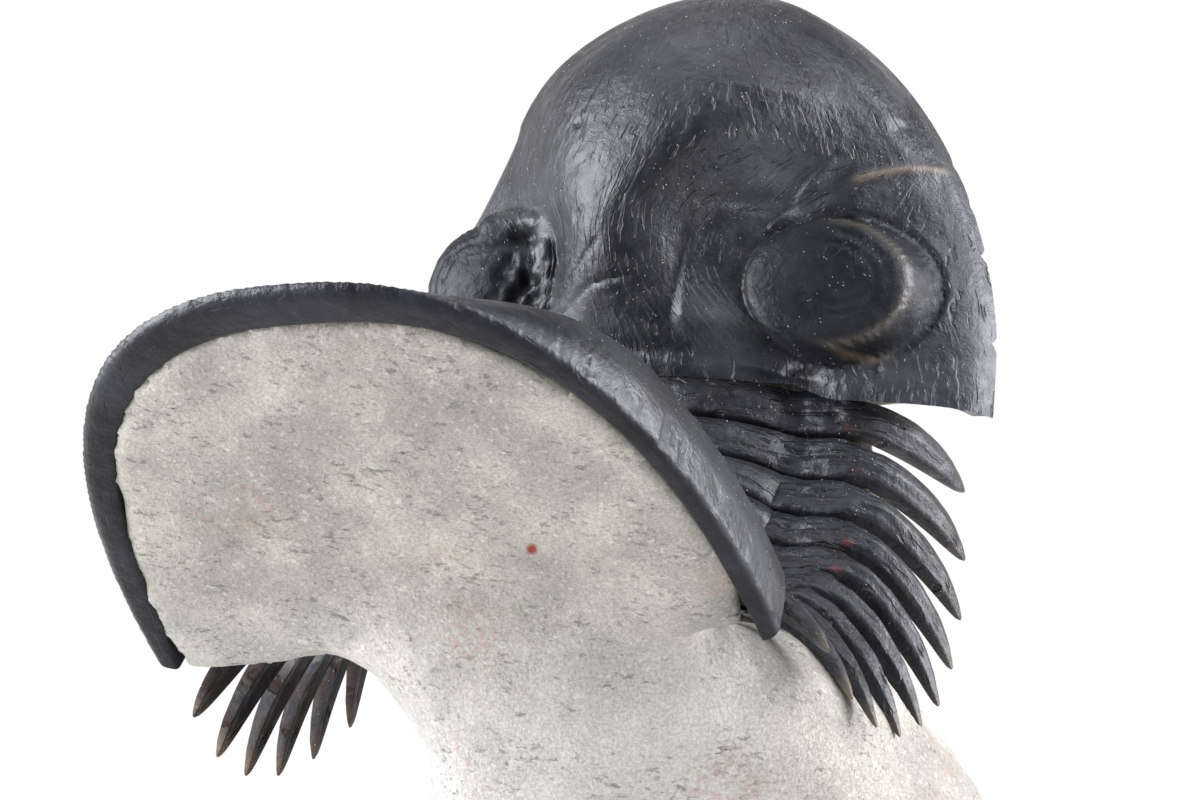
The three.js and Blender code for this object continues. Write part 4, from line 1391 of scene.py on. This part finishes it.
@dataclass(frozen=True)
class Studio:
    """The camera, the soft lamps, the pale floor and the white board behind, in millimetres."""

    camera: tuple[float, float, float] = (-5.0, -296.0, 38.0)
    lens: float = 139.3
    sensor: float = 36.0
    near: float = 5.0
    aim: tuple[float, float, float] = (0.0, 0.0, 38.0)
    boxes: tuple[Softbox, ...] = (
        Softbox("softbox_left", (-340.0, -60.0, 120.0), 370.0, 5.2),
        Softbox("softbox_right", (340.0, -20.0, 110.0), 300.0, 3.7),
        Softbox("softbox_front", (190.0, -140.0, 350.0), 220.0, 0.9),
        Softbox("softbox_top", (-40.0, 60.0, 380.0), 260.0, 0.5),
    )
    ambient: float = 0.15
    floor_radius: float = 138.0
    board_half: float = 1080.0
    board_y: float = 1300.0
    board_z: Place = (-720.0, 1000.0)

    def build(self) -> None:
        """Build everything that isn't part of the object."""
        scene = bpy.context.scene
        camera = bpy.data.cameras.new("camera")
        camera.lens = self.lens
        camera.sensor_width = self.sensor
        camera.clip_start = self.near * MM
        eye = linked("camera", camera)
        eye.location = [v * MM for v in self.camera]
        eye.rotation_euler = (math.pi / 2, 0.0, 0.0)
        scene.camera = eye
        for box in self.boxes:
            box.build(self.aim)
        world = bpy.data.worlds.new("studio")
        world.use_nodes = True
        background = world.node_tree.nodes["Background"].inputs
        background["Color"].default_value = (1.0, 1.0, 1.0, 1.0)
        background["Strength"].default_value = self.ambient
        scene.world = world
        scene.view_settings.view_transform = "Standard"
        self.floor()
        self.board()

    def floor(self) -> None:
        """A pale round floor under the stone, small enough to stay out of the photo's frame."""
        mesh = bpy.data.meshes.new("floor")
        work = bmesh.new()
        bmesh.ops.create_circle(work, cap_ends=True, segments=128, radius=self.floor_radius * MM)
        work.to_mesh(mesh)
        work.free()
        mesh.materials.append(WHITE_CARD.material())
        linked("floor", mesh)

    def board(self) -> None:
        """A lit white board far behind the fossil."""
        low, high = self.board_z
        corners = [(side * self.board_half, self.board_y, low) for side in (-1, 1)]
        corners += [(side * self.board_half, self.board_y, high) for side in (1, -1)]
        mesh = bpy.data.meshes.new("board")
        mesh.from_pydata([[v * MM for v in corner] for corner in corners], [], [(0, 1, 2, 3)])
        glow = {"Color": (1.0, 1.0, 1.0, 1.0), "Strength": 1.0}
        mesh.materials.append(Weave("lit_white_board").surfaced(glow, "Emission"))
        linked("board", mesh)


def dress(
    piece: bpy.types.Object, material: bpy.types.Material, node: str | None
) -> bpy.types.Object:
    """Give a piece its material and its body, and hide the CAD node that it stands for, if any.

    Args:
        piece: The finished object.
        material: What it is made of.
        node: The CAD node that it replaces.

    Returns:
        The piece.
    """
    piece.data.materials.clear()
    piece.data.materials.append(material)
    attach(piece, "root")
    if node:
        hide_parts(node)
    log.info("%s: %d faces", piece.name, len(piece.data.polygons))
    return piece


def main() -> None:
    """Build the fossil piece by piece, then the studio round it."""
    logging.basicConfig(level=logging.INFO, format="%(name)s %(message)s")
    shell = ShellFinish().material()
    stone = StoneFinish().material()
    dust = STONE_DUST.material()
    head = HeadShield()
    sweep = Sweep()
    pieces = [(head, "head_shield")]
    pieces += [(ThoraxSegment(k, sweep), f"thorax_segment_{k + 1:02d}") for k in range(SegmentSize().count)]
    pieces += [(TailShield(), "tail_shield")]
    shells = [dress(piece.build(), shell, node) for piece, node in pieces]
    dress(ShellDust().build(shells, dust), dust, None)
    dress(LimestoneMatrix(head).build(), stone, "limestone_matrix")
    Studio().build()


if __name__ == "__main__":
    main()
